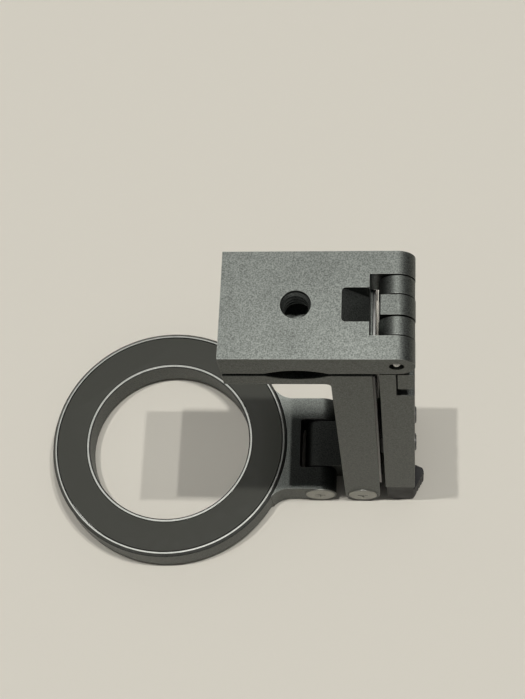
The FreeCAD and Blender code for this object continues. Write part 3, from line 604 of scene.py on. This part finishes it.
def soften(made, edge, segments=2, sharp=35):
    """A real rounded break on every sharp edge."""
    bevel = made.modifiers.new("edges", "BEVEL")
    bevel.width = edge * MM
    bevel.segments = segments
    bevel.limit_method = "ANGLE"
    bevel.angle_limit = math.radians(sharp)
    bevel.harden_normals = True
    bevel.miter_outer = "MITER_ARC"


# --- mount block -----------------------------------------------------------------------

# how far a cutter reaches past what it cuts
OVER = 1.0
GROOVE_RADIUS = 14.3
GROOVE_DEEP = 1.7
NOTCH_LEFT = PIN_AXIS.x - 5.7
NOTCH_HALF = 7.1
RAMP_LEFT = PIN_AXIS.x - 11.5
RAMP_HALF = 3.95
RAMP_CORNER = 0.9
RAMP_DEEP = 5.5
MOUTH_WIDER = 0.22
MOUTH_TAPER = 0.9
END_DEEP = 1.0
PIN_BORE = 1.02
PIN_RECESS = 1.62
THREAD_PITCH = 1.27
THREAD_CREST = 2.62
THREAD_STEPS = 72
THREAD_RUN_OUT = 30
THREAD_FOOT_GAP = 0.62
THREAD_TOP_GAP = 0.75
THREAD_ROOT_HALF = 0.56
THREAD_CREST_HALF = 0.09
THREAD_SUNK = 0.03
THREAD_START = 0.04
PIN_SHORT = 0.06
# the pin's dome: radius, and how far back from its tip
PIN_DOME = ((0, 0), (0.25, 0.03), (0.5, 0.13), (0.72, 0.31), (0.88, 0.54), (0.97, 0.8))
PIN_DOME_LONG = 1.1


def end_recesses(axis, radius, steps):
    """Cutters for a round recess in both end faces, about a hinge line."""
    recesses = []
    for side in (-1, 1):
        low, high = sorted((side * (HALF - END_DEEP), side * (HALF + OVER)))
        recesses.append(rod("y", (axis.x, axis.z), radius, low, high, steps))
    return recesses


def cross_bore(axis, radius, reach):
    """A cutter for a bore along a hinge line."""
    return rod("y", (axis.x, axis.z), radius, -reach, reach, 48)


def mount_block():
    top = BLOCK_HIGH.z
    side = [(BLOCK_LOW.x, top), (BLOCK_LOW.x, BLOCK_FOOT)]
    side += groove_points(BLOCK_FOOT, 1)
    side += arc((PIN_AXIS.x, PIN_AXIS.z), (top - BLOCK_FOOT) / 2, -90, 90, 40)
    block = prism(side, "y", -HALF, HALF)
    notch_x = (NOTCH_LEFT, BLOCK_HIGH.x + 2 * OVER)
    mouth = [
        (0, top - OVER),
        (HOLE_RADIUS - MOUTH_TAPER, top - OVER),
        (HOLE_RADIUS + MOUTH_WIDER, top + 0.1 * OVER),
        (0, top + 0.1 * OVER),
    ]
    cut(
        block,
        slab(notch_x, (-NOTCH_HALF, NOTCH_HALF), (BLOCK_FOOT - 2 * OVER, top + 2 * OVER)),
        ramp_cutter(),
        rod("z", HOLE, HOLE_RADIUS, BLOCK_FOOT - 3 * OVER, top + 2 * OVER, 96),
        lathe(mouth, "z", HOLE, 96),
        *end_recesses(PIN_AXIS, PIN_RECESS, 48),
        cross_bore(PIN_AXIS, PIN_BORE, HALF + OVER),
    )
    piece(block, "threaded_block", "block", "anodised_aluminium", "mount_block", edge=0.24, segments=3)
    thread()
    hinge_pin()


def groove_points(level, way):
    """The shallow bar groove across a jaw face, from left to right; way is +1 up into the block."""
    reach = math.sqrt(GROOVE_RADIUS**2 - (GROOVE_RADIUS - GROOVE_DEEP) ** 2)
    half = math.degrees(math.asin(reach / GROOVE_RADIUS))
    centre = (HOLE.x, level - way * (GROOVE_RADIUS - GROOVE_DEEP))
    top = 90 * way
    return arc(centre, GROOVE_RADIUS, top + way * half, top - way * half, 36)


def ramp_cutter():
    """Finger ramp that opens into the hinge notch: sloping floor, round inner corners."""
    right = NOTCH_LEFT + OVER / 2
    top = BLOCK_HIGH.z
    corners = [(RAMP_LEFT, -RAMP_HALF, RAMP_CORNER), (right, -RAMP_HALF, 0)]
    corners += [(right, RAMP_HALF, 0), (RAMP_LEFT, RAMP_HALF, RAMP_CORNER)]
    ramp = prism(rounded(corners, 10), "z", top - 7 * OVER, top + 2 * OVER)
    slope = RAMP_DEEP / (right - RAMP_LEFT)
    under = [(RAMP_LEFT - OVER, top - 8 * OVER), (right + OVER, top - 8 * OVER)]
    floor = [(right + OVER, top - RAMP_DEEP - slope), (RAMP_LEFT - OVER, top + slope)]
    return cut(ramp, prism(under + floor, "y", -6 * OVER, 6 * OVER))


def thread():
    """The 1/4-20 thread: one helical ridge with its root in the wall of the bore."""
    shape = bmesh.new()
    low = BLOCK_FOOT + GROOVE_DEEP + THREAD_FOOT_GAP
    high = BLOCK_HIGH.z - THREAD_TOP_GAP
    total = int(THREAD_STEPS * (high - low) / THREAD_PITCH)
    root = HOLE_RADIUS + THREAD_SUNK
    start = root - THREAD_START
    loops = []
    for step in range(total + 1):
        angle = 2 * math.pi * step / THREAD_STEPS
        middle = low + (high - low) * step / total
        grown = min(1.0, step / THREAD_RUN_OUT, (total - step) / THREAD_RUN_OUT)
        crest = start - (start - THREAD_CREST) * grown
        ridge = [(root, -THREAD_ROOT_HALF), (crest, -THREAD_CREST_HALF)]
        ridge += [(crest, THREAD_CREST_HALF), (root, THREAD_ROOT_HALF)]
        loop = []
        for radius, offset in ridge:
            spot = (HOLE.x + radius * math.cos(angle), HOLE.y + radius * math.sin(angle), middle + offset)
            loop.append(shape.verts.new(spot))
        loops.append(loop)
    piece(swept(shape, loops), "tripod_thread_ridge", "block", "anodised_aluminium", sharp=30)


def swept(shape, loops):
    """A closed tube through a row of vertex loops."""
    for here, there in zip(loops, loops[1:]):
        for corner in range(len(here)):
            shape.faces.new((here[corner - 1], here[corner], there[corner], there[corner - 1]))
    shape.faces.new(loops[0])
    shape.faces.new(loops[-1])
    return as_object(shape)


def hinge_pin():
    """Turned pin with a domed end in each recess."""
    low, high = box_mm("hinge_pin")
    radius = (high.z - low.z) / 2
    tip = HALF - PIN_SHORT
    side = [(across, tip - back) for across, back in PIN_DOME]
    side.append((radius, tip - PIN_DOME_LONG))
    profile = side + [(r, -y) for r, y in reversed(side)]
    pin = lathe(profile, "y", (0, 0), 64)
    piece(pin, "turned_hinge_pin", "block", "polished_steel", "hinge_pin", sharp=60, paint="pin_steel")
    place(pin, (PIN_AXIS.x, 0, PIN_AXIS.z))


def place(made, spot):
    """Moves a piece that was made about its own origin."""
    made.matrix_world = Matrix.Translation(Vector(spot) * MM) @ made.matrix_world


# --- leg bracket -----------------------------------------------------------------------

LEG_HALF = 4.5
SHELF_THICK = 4.6
SHELF_FILLET = 1.5
CHANNEL_DEEP = 5.5
CHANNEL_HALF = 8.0
CHANNEL_FOOT = 13.0
CHANNEL_ROOF = 77.5
CHANNEL_CORNER = 0.8
LEG_SLOT_HALF = 6.5
LEG_SLOT_ROOF = 9.5
LEG_CAP_SEAT = 3.7
HINGE_BORE = 1.52
WINDOW_HALF = 5.8
WINDOW_FOOT = 15.4
WINDOW_TOP = 47.6
STRIP_HEAD = 1.4
STRIP_HEAD_SEAT = 1.5
STRIP_SEAT_DEEP = 0.35
STRIP_SHANK = 0.8
DRIVE_HALF = 0.2
DRIVE_DEEP = 0.25


def leg_bracket():
    left, right = LEG_AXIS.x - LEG_HALF, LEG_HIGH.x
    shelf_foot = SHELF_TOP - SHELF_THICK
    side = arc((LEG_AXIS.x, LEG_AXIS.z), LEG_AXIS.z, 180, 360, 48)
    side += [(right, SHELF_TOP)]
    side += reversed(groove_points(SHELF_TOP, -1))
    side += [(LEG_LOW.x, SHELF_TOP)]
    inner = [(LEG_LOW.x, shelf_foot, 0), (left, shelf_foot, SHELF_FILLET), (left, LEG_AXIS.z + OVER, 0)]
    side += rounded(inner, 12)
    leg = prism(side, "y", -HALF, HALF)
    channel = rectangle(CHANNEL_HALF, CHANNEL_FOOT, CHANNEL_ROOF, CHANNEL_CORNER, CHANNEL_CORNER)
    slot = rectangle(LEG_SLOT_HALF, -2 * OVER, LEG_SLOT_ROOF, 0, 0.5)
    cut(
        leg,
        prism(rounded(channel, 6), "x", right - CHANNEL_DEEP, right + OVER),
        prism(rounded(slot, 6), "x", left - OVER, right + OVER),
        *end_recesses(LEG_AXIS, LEG_CAP_SEAT, 72),
        cross_bore(LEG_AXIS, HINGE_BORE, HALF + OVER),
    )
    piece(leg, "leg_and_shelf", "leg", "anodised_aluminium", "leg_bracket", edge=0.2, segments=3)


def rectangle(half, foot, top, foot_corner, top_corner):
    """Corners for rounded(), centred across, with their radii."""
    low = [(-half, foot, foot_corner), (half, foot, foot_corner)]
    return low + [(half, top, top_corner), (-half, top, top_corner)]


def guide_strip():
    low, high = box_mm("guide_strip")
    strip = prism(rounded(rectangle(high.y, low.z, high.z, 0.6, 0.3), 6), "x", low.x, high.x)
    window = rounded(rectangle(WINDOW_HALF, WINDOW_FOOT, WINDOW_TOP, 1.0, 1.0), 8)
    cut(strip, prism(window, "x", low.x - OVER, high.x + OVER))
    screws_low, screws_high = box_mm("strip_screws")
    for side, name in ((-1, "front"), (1, "rear")):
        for height in (screws_low.z + STRIP_HEAD, screws_high.z - STRIP_HEAD):
            across = side * (screws_high.y - STRIP_HEAD)
            seat_x = (high.x - STRIP_SEAT_DEEP, high.x + OVER)
            cut(strip, rod("x", (across, height), STRIP_HEAD_SEAT, *seat_x, 40))
            strip_screw(f"strip_screw_{name}_{round(height)}", across, height)
    piece(strip, "steel_guide_strip", "leg", "polished_steel", "guide_strip", edge=0.07, paint="strip_steel")


def strip_screw(name, y, z):
    """Low domed head with one driver slot, and its shank in the leg."""
    low, high = box_mm("strip_screws")
    face = high.x
    under = face - 0.5
    profile = [(0, low.x), (0.65, low.x), (STRIP_SHANK, low.x + 0.2), (STRIP_SHANK, under)]
    profile += [(STRIP_HEAD, under), (STRIP_HEAD, face - 0.14), (1.25, face - 0.05)]
    profile += [(STRIP_SHANK, face - 0.005), (0, face)]
    screw = lathe(profile, "x", (y, z), 40)
    reach = 2 * OVER
    drive_z = (z - DRIVE_HALF, z + DRIVE_HALF)
    cut(screw, slab((face - DRIVE_DEEP, face + OVER), (y - reach, y + reach), drive_z))
    piece(screw, name, "leg", "fastener_steel", *one_of("strip_screws"), edge=0.03, segments=1)


STOOD_FOR = set()


def one_of(node):
    """The node that a repeated piece stands for, named once, by the first of them."""
    if node in STOOD_FOR:
        return ()
    STOOD_FOR.add(node)
    return (node,)


# --- pivots ----------------------------------------------------------------------------

FACING_RINGS = 6
FACING_STEP = 0.36
FACING_DEEP = 0.02
FACING_PROUD = 0.002
CROSS_HALF = 1.4
LINK_BORE = 1.53


def pivot_caps(node, body, axis):
    """Turned heads with shallow facing rings and a small cross recess."""
    low, high = box_mm(node)
    radius = (high.x - low.x) / 2
    inner, face = HALF - END_DEEP, high.y
    for side, name in ((-1, "front"), (1, "rear")):
        rim = [(0, inner), (radius, inner), (radius, face - 0.26)]
        rim += [(radius - 0.06, face - 0.12), (radius - 0.2, face - 0.03), (radius - 0.36, face)]
        for ring in range(FACING_RINGS):
            middle = radius - 0.62 - ring * FACING_STEP
            edge = face - FACING_PROUD
            rim += [(middle + 0.09, edge), (middle, edge - FACING_DEEP), (middle - 0.09, edge)]
        rim += [(0, face)]
        head = lathe([(r, side * y) for r, y in rim], "y", (0, 0), 96)
        depth = sorted((side * (face - DRIVE_DEEP), side * (face + OVER)))
        long, narrow = (-CROSS_HALF, CROSS_HALF), (-DRIVE_HALF, DRIVE_HALF)
        cut(head, join(slab(long, depth, narrow), slab(narrow, depth, long)))
        piece(head, f"{node}_{name}", body, "pivot_steel", *one_of(node), sharp=50)
        place(head, (axis.x, 0, axis.z))


def pivot_link():
    reach = LINK_HIGH.y
    side = arc((RING_AXIS.x, RING_AXIS.z), BARREL, 90, 270, 40)
    side += arc((LEG_AXIS.x, LEG_AXIS.z), BARREL, -90, 90, 40)
    link = prism(side, "y", -reach, reach)
    cut(link, cross_bore(RING_AXIS, LINK_BORE, reach + OVER), cross_bore(LEG_AXIS, LINK_BORE, reach + OVER))
    piece(link, "double_hinge_link", "link", "anodised_aluminium", "pivot_link", edge=0.22, segments=3)


# --- ring head -------------------------------------------------------------------------

ARM_FILLET = 6.0
RING_STEPS = 288
POCKET_FLOOR = 5.8
HOLE_UNDER_BEVEL = 1.5
HOLE_TOP_BEVEL = 0.32
UNDER_BEVEL = 2.0
UPPER_BEVEL = 0.7
LAND = 0.85
PAD_GAP = 0.2
PAD_INNER_GAP = 0.1
PAD_ROLL = 0.16
ARM_START = 25
# how far round its curve each flare starts, so that its tip isn't too thin to soften
FLARE_SKIP = 9
ARM_SUNK = 0.5
FORK_DEEP = 5.3
FORK_HALF = 6.6
FORK_LONG = 20
FORK_CORNER = 0.8
HEAD_CAP_SEAT = 3.8


def ring_housing():
    """The turned ring, with a pocket for the pad between two bare lands and a deep under-bevel."""
    top = RING_HIGH.z
    pocket_out = RING_CENTRE.x - PAD_LOW.x + PAD_GAP
    pocket_in = HOLE_IN_RING + LAND
    profile = [
        (HOLE_IN_RING, HOLE_UNDER_BEVEL),
        (HOLE_IN_RING + HOLE_UNDER_BEVEL, 0),
        (RING_RADIUS - UNDER_BEVEL, 0),
        (RING_RADIUS, UNDER_BEVEL),
        (RING_RADIUS, top - UPPER_BEVEL),
        (RING_RADIUS - UPPER_BEVEL, top),
        (pocket_out, top),
        (pocket_out, POCKET_FLOOR),
        (pocket_in, POCKET_FLOOR),
        (pocket_in, top),
        (HOLE_IN_RING + HOLE_TOP_BEVEL, top),
        (HOLE_IN_RING, top - HOLE_TOP_BEVEL),
    ]
    ring = lathe(profile, "z", (RING_CENTRE.x, 0), RING_STEPS)
    origin = (RING_CENTRE.x, 0, top)
    names = ("turned_ring", "head", "anodised_aluminium", "ring_housing")
    piece(ring, *names, edge=0.08, origin=origin, paint="ring_aluminium")
    ring_arm()


def ring_arm():
    """The arm and fork, flared into the ring, which it meets at a fine V-groove."""
    centre = (RING_CENTRE.x, 0)
    top = RING_HIGH.z
    level = RING_AXIS.z
    side = [(centre[0] + ARM_START, level + BARREL), (centre[0] + ARM_START, level - BARREL)]
    side += arc((RING_AXIS.x, level), BARREL, -90, 90, 40)
    arm = prism(side, "y", -HALF, HALF)
    reach = RING_RADIUS + ARM_FILLET
    tall = HALF + ARM_FILLET
    tangent = math.degrees(math.asin(tall / reach))
    along = centre[0] + math.sqrt(reach**2 - tall**2)
    for side in (-1, 1):
        bend = arc((along, side * tall), ARM_FILLET, side * (180 + tangent + FLARE_SKIP), side * 270, 16)
        inner = [(along, side * (HALF - 2 * OVER)), (centre[0] + ARM_START - OVER, side * (HALF - 2 * OVER))]
        join(arm, prism(bend + inner, "z", level - BARREL, level + BARREL))
    buried = RING_RADIUS - ARM_SUNK
    seat = [(0, -2 * OVER), (RING_RADIUS, -2 * OVER), (RING_RADIUS, UNDER_BEVEL), (buried, UNDER_BEVEL)]
    seat += [(buried, top - UPPER_BEVEL), (RING_RADIUS, top - UPPER_BEVEL)]
    seat += [(RING_RADIUS, top + 2 * OVER), (0, top + 2 * OVER)]
    root = RING_AXIS.x - FORK_DEEP
    fork = [(root, -FORK_HALF, FORK_CORNER), (root + FORK_LONG, -FORK_HALF, 0)]
    fork += [(root + FORK_LONG, FORK_HALF, 0), (root, FORK_HALF, FORK_CORNER)]
    cut(
        arm,
        lathe(seat, "z", centre, RING_STEPS),
        prism(rounded(fork, 8), "z", -2 * OVER, top + 2 * OVER),
        *end_recesses(RING_AXIS, HEAD_CAP_SEAT, 72),
        cross_bore(RING_AXIS, HINGE_BORE, HALF + OVER),
    )
    piece(arm, "ring_arm", "head", "anodised_aluminium", edge=0.14)


def ring_pad():
    """Soft pad with rolled edges, level with the bare lands beside it."""
    low, high = PAD_LOW.z, PAD_HIGH.z
    outer = RING_CENTRE.x - PAD_LOW.x
    inner = HOLE_IN_RING + LAND + PAD_INNER_GAP
    profile = [(inner, low), (outer, low)]
    profile += arc((outer - PAD_ROLL, high - PAD_ROLL), PAD_ROLL, 0, 90, 5)
    profile += arc((inner + PAD_ROLL, high - PAD_ROLL), PAD_ROLL, 90, 180, 5)
    pad = lathe(profile, "z", (RING_CENTRE.x, 0), RING_STEPS)
    piece(pad, "soft_ring_pad", "head", "pad_silicone", "ring_pad", sharp=60)


# --- slider ----------------------------------------------------------------------------

PLATE_HALF = 3.7
PLATE_GAP = 0.5
KNUCKLE_RADIUS = 3.85
KNUCKLE_INNER = 2.6
KNUCKLE_OUTER = 6.85
KNUCKLE_START = 16
WEB_BELOW_PIN = 1.1
INSERT_SLOT_HALF = 2.35
INSERT_SLOT_FOOT = 77.0
LATCH_NOTCH_DEEP = 3.9
LATCH_NOTCH_LONG = 7.0
LATCH_NOTCH_FOOT = 73.2
TONGUE_GROOVE_LONG = 8.5
TONGUE_GROOVE_FROM = 0.67
TONGUE_GROOVE_TO = 2.67
SPRING_WELL = 1.3
SPRING_WELL_FOOT = 67.0
LATCH_SPRING_X = 44.5
LATCH_SPRING_IN = 3.5
SLIDER_BORE = 1.04
FOLLOWER_SCREW_Y = 3.6
FOLLOWER_SCREW_Z = 20.0
FOLLOWER_HEAD = 2.2
FOLLOWER_SEAT = 2.3
FOLLOWER_SEAT_DEEP = 1.2


def slide_plate():
    left, right = PIN_AXIS.x - PLATE_HALF, PIN_AXIS.x + PLATE_HALF
    foot, top = PLATE_LOW.z, BLOCK_FOOT - PLATE_GAP
    front = -HALF
    notch_z = (LATCH_NOTCH_FOOT, top + OVER)
    notch_end = front + LATCH_NOTCH_LONG
    groove_x = (LATCH_LOW.x + TONGUE_GROOVE_FROM, LATCH_LOW.x + TONGUE_GROOVE_TO)
    well_high = LATCH_NOTCH_FOOT + 1.8 * OVER
    plate = slab((left, right), (-HALF, HALF), (foot, top))
    web = PIN_AXIS.z - WEB_BELOW_PIN
    slot_y, slot_z = (-INSERT_SLOT_HALF, INSERT_SLOT_HALF), (INSERT_SLOT_FOOT, top + 12 * OVER)
    knuckle = [(left, top - 2 * OVER), (right, top - 2 * OVER), (right, web)]
    knuckle += arc((PIN_AXIS.x, PIN_AXIS.z), KNUCKLE_RADIUS, -KNUCKLE_START, 180 + KNUCKLE_START, 48)
    knuckle += [(left, web)]
    sides = [sorted((side * KNUCKLE_INNER, side * KNUCKLE_OUTER)) for side in (-1, 1)]
    join(plate, *[prism(knuckle, "y", *ends) for ends in sides])
    seats = []
    for side in (-1, 1):
        spot = (side * FOLLOWER_SCREW_Y, FOLLOWER_SCREW_Z)
        seats.append(rod("x", spot, FOLLOWER_SEAT, right - FOLLOWER_SEAT_DEEP, right + 2 * OVER, 56))
    cut(
        plate,
        slab((left - OVER, right + OVER), slot_y, slot_z),
        slab((right - LATCH_NOTCH_DEEP, right + OVER), (front - OVER, notch_end), notch_z),
        slab(groove_x, (notch_end - OVER, front + TONGUE_GROOVE_LONG), notch_z),
        rod("z", (LATCH_SPRING_X, front + LATCH_SPRING_IN), SPRING_WELL, SPRING_WELL_FOOT, well_high, 40),
        cross_bore(PIN_AXIS, SLIDER_BORE, HALF),
        *seats,
    )
    piece(plate, "back_plate", "slider", "anodised_aluminium", "slide_plate", edge=0.2, segments=3)


INSERT_BARREL = 3.95
INSERT_START = 20
INSERT_STOP = 84
INSERT_CORNER = 0.35
SHOULDER_LEFT = 3.6
SHOULDER_DROP = 0.05


def hinge_insert():
    left, right = PIN_AXIS.x - PLATE_HALF, PIN_AXIS.x + PLATE_HALF
    shoulder_left, shoulder_top = PIN_AXIS.x - SHOULDER_LEFT, BLOCK_HIGH.z - SHOULDER_DROP
    side = [(left, INSERT_LOW.z), (right, INSERT_LOW.z), (right, PIN_AXIS.z - 1.35)]
    side += arc((PIN_AXIS.x, PIN_AXIS.z), INSERT_BARREL, -INSERT_START, INSERT_STOP, 32)
    shoulder = [(PIN_AXIS.x, shoulder_top, 0), (shoulder_left, shoulder_top, INSERT_CORNER)]
    side += rounded(shoulder + [(shoulder_left, PIN_AXIS.z - 1, 0)], 5)
    side += [(left, PIN_AXIS.z - 1.2)]
    insert = prism(side, "y", INSERT_LOW.y, INSERT_HIGH.y)
    cut(insert, cross_bore(PIN_AXIS, SLIDER_BORE, 5 * OVER))
    piece(insert, "centre_knuckle", "slider", "anodised_aluminium", "hinge_insert", edge=0.14)


def follower_screws():
    """Domed socket heads that stand a little proud of the plate."""
    low, high = box_mm("follower_screws")
    face = high.x
    head = [(FOLLOWER_HEAD, -1.6), (FOLLOWER_HEAD, -0.42), (2.12, -0.2), (1.9, -0.06), (1.6, 0), (0, 0)]
    shank = [(0, low.x), (0.7, low.x), (0.9, low.x + 0.25), (0.9, face - 1.6)]
    for side, name in ((-1, "front"), (1, "rear")):
        spot = (side * FOLLOWER_SCREW_Y, FOLLOWER_SCREW_Z)
        screw = lathe(shank + [(r, face + back) for r, back in head], "x", spot, 64)
        cut(screw, rod("x", spot, 1.0, face - 0.9, face + OVER, 6))
        stands_for = one_of("follower_screws")
        piece(screw, f"follower_screw_{name}", "slider", "fastener_steel", *stands_for, edge=0.05)


CAP_SCREW_Y = 8.0
CAP_SCREW_HEAD = 1.9
CAP_SCREW_SHANK = 0.95
CAP_SCREW_SEAT = 2.1
CAP_SCREW_SEAT_TOP = 2.4
CAP_SCREW_BORE = 1.1


def cap_screws():
    low, high = box_mm("cap_screws")
    foot = low.z
    tip = [(0, high.z), (0.8, high.z), (CAP_SCREW_SHANK, high.z - 0.3), (CAP_SCREW_SHANK, foot + 1.2)]
    head = [(CAP_SCREW_HEAD, foot + 1.2), (CAP_SCREW_HEAD, foot + 0.25), (1.75, foot + 0.06)]
    head += [(1.5, foot), (0, foot)]
    for side, name in ((-1, "front"), (1, "rear")):
        spot = (PIN_AXIS.x, side * CAP_SCREW_Y)
        screw = lathe(tip + head, "z", spot, 56)
        cut(screw, rod("z", spot, 0.85, foot - OVER, foot + 0.7, 6))
        piece(screw, f"cap_screw_{name}", "slider", "fastener_steel", *one_of("cap_screws"), edge=0.04)


CAP_ROUND = 2.5
CAP_HALF = 3.35
TAB_FOOT = 0.8
TAB_TOP = 7.0
TAB_TIP_Y = -7.1
TAB_BLUNT_Y = -6.0
TAB_REAR_Y = -5.0
TAB_RIBS = 5
TAB_RIB = 0.26


def end_cap():
    """Moulded foot: rounded underside, wedge-shaped thumb tab with fine grip ribs."""
    left, right = CAP_LOW.x, PIN_AXIS.x + CAP_HALF
    front, rear = CAP_LOW.y, CAP_HIGH.y
    side = [(left, 0, CAP_ROUND), (right, 0, CAP_ROUND), (right, CAP_HIGH.z, 0), (left, CAP_HIGH.z, 0)]
    cap = prism(rounded(side, 14), "y", front, rear)
    tip = CAP_HIGH.x
    plan = [(PIN_AXIS.x, front, 0), (right, front, 0.8), (tip, TAB_TIP_Y, 0.5), (tip - 0.4, TAB_BLUNT_Y, 0.4)]
    plan += [(right, TAB_REAR_Y, 0), (PIN_AXIS.x, TAB_REAR_Y, 0)]
    tab = prism(rounded(plan, 6), "z", TAB_FOOT, TAB_TOP)
    slope = (Vector((tip, TAB_TIP_Y)) - Vector((right, front))).normalized()
    ribs = []
    for rib in range(TAB_RIBS):
        spot = Vector((right, front)) + slope * (2.0 + rib * 0.95)
        ribs.append(rod("z", spot + Vector((slope.y, -slope.x)) * 0.12, TAB_RIB, 0, TAB_TOP + OVER, 12))
    cut(tab, *ribs)
    join(cap, tab)
    holes = []
    for place_y in (-CAP_SCREW_Y, CAP_SCREW_Y):
        holes.append(rod("z", (PIN_AXIS.x, place_y), CAP_SCREW_SEAT, -OVER, CAP_SCREW_SEAT_TOP, 48))
        holes.append(rod("z", (PIN_AXIS.x, place_y), CAP_SCREW_BORE, -OVER, CAP_HIGH.z + OVER, 32))
    cut(cap, *holes)
    piece(cap, "moulded_end_cap", "slider", "black_plastic", "end_cap", edge=0.16)


LATCH_BODY_LONG = 6.7
LATCH_TOE = 0.8
LATCH_TOP_CORNER = 0.2
TONGUE_FROM = 0.97
TONGUE_TO = 2.37
LATCH_RIBS = 5
LATCH_RIB = 0.25
LATCH_RIB_PROUD = 0.08
LATCH_RIB_FIRST = 2.2
LATCH_RIB_STEP = 0.9


def release_latch():
    """Sliding slab with a tongue behind it, a bevelled toe and grip ribs on its outer face."""
    low, high = LATCH_LOW, LATCH_HIGH
    back = -HALF + LATCH_BODY_LONG
    side = [(low.x, low.z, 0), (high.x - LATCH_TOE, low.z, 0), (high.x, low.z + LATCH_TOE, 0)]
    side += [(high.x, high.z, LATCH_TOP_CORNER), (low.x, high.z, 0)]
    latch = prism(rounded(side, 4), "y", low.y, back)
    join(latch, slab((low.x + TONGUE_FROM, low.x + TONGUE_TO), (back - OVER, high.y), (low.z, high.z)))
    ribs = []
    for rib in range(LATCH_RIBS):
        spot = (high.x + LATCH_RIB_PROUD, low.z + LATCH_RIB_FIRST + rib * LATCH_RIB_STEP)
        ribs.append(rod("y", spot, LATCH_RIB, low.y - OVER, back + OVER, 16))
    cut(latch, *ribs)
    piece(latch, "sliding_latch", "latch", "anodised_aluminium", "release_latch", edge=0.09)


WIRE_STEPS = 10
TURN_STEPS = 32
CLAMP_SPRING_Y = 3.9
CLAMP_SPRING_FOOT = 27.4
CLAMP_SPRING_IN = 2.75
CLAMP_COIL = (1.9, 0.25, 15)
LATCH_COIL = (0.9, 0.15, 8)


def coil(name, body, node, centre, foot, top, radius, wire, turns):
    """A compression spring of round wire with one closed turn at each end."""
    shape = bmesh.new()
    loops = []
    closed = 2 * wire
    open_length = top - foot - 2 * wire - 2 * closed
    for step in range(int(turns * TURN_STEPS) + 1):
        turned = step / TURN_STEPS
        angle = 2 * math.pi * turned
        if turned < 1:
            height = foot + wire + closed * turned
        elif turned > turns - 1:
            height = top - wire - closed * (turns - turned)
        else:
            height = foot + wire + closed + open_length * (turned - 1) / (turns - 2)
        outward = Vector((math.cos(angle), math.sin(angle), 0))
        hub = Vector((centre[0], centre[1], height)) + outward * radius
        loop = []
        for corner in range(WIRE_STEPS):
            turn = 2 * math.pi * corner / WIRE_STEPS
            spot = hub + outward * (wire * math.cos(turn)) + Vector((0, 0, wire * math.sin(turn)))
            loop.append(shape.verts.new(spot))
        loops.append(loop)
    return piece(swept(shape, loops), name, body, "spring_steel", *one_of(node), sharp=60)


def springs():
    """The two clamp springs in the leg and the latch's return spring, each built at one fixed length."""
    foot, roof = CLAMP_SPRING_FOOT, CHANNEL_ROOF
    for side, name in ((-1, "front"), (1, "rear")):
        centre = (LEG_HIGH.x - CLAMP_SPRING_IN, side * CLAMP_SPRING_Y)
        spring = coil(f"clamp_spring_{name}", "leg", "clamp_springs", centre, foot, roof, *CLAMP_COIL)
        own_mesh(spring)
    foot, top = SPRING_WELL_FOOT, LATCH_LOW.z
    centre = (LATCH_SPRING_X, -HALF + LATCH_SPRING_IN)
    small = coil("latch_return_spring", "slider", "latch_spring", centre, foot, top, *LATCH_COIL)
    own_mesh(small)


# --- CAD nodes that stay ----------------------------------------------------------------

KEPT_EDGES = {
    "leg_pivot_pin": 0.2,
    "ring_pivot_pin": 0.2,
    "leg_friction_washers": 0.05,
    "ring_friction_washers": 0.05,
    "magnet_shunt": 0.08,
    "magnet_segments": 0.15,
    "plate_liner": 0.06,
    "slide_follower": 0.3,
    "hinge_spacers": 0.05,
}


def dress_kept_nodes():
    """Materials and softened edges for the CAD pieces whose shape is already right."""
    for name, edge in KEPT_EDGES.items():
        node = NODES[name]
        node.data.materials.clear()
        node.data.materials.append(MATERIALS[SLOTS[name]])
        weld = node.modifiers.new("weld", "WELD")
        weld.merge_threshold = SLIVER_MM * MM
        soften(node, edge)


make_camera()
make_light()
make_floor()
mount_block()
leg_bracket()
guide_strip()
pivot_caps("leg_pivot_caps", "leg", LEG_AXIS)
pivot_link()
ring_housing()
ring_pad()
pivot_caps("ring_pivot_caps", "head", RING_AXIS)
slide_plate()
hinge_insert()
follower_screws()
cap_screws()
end_cap()
release_latch()
springs()
dress_kept_nodes()
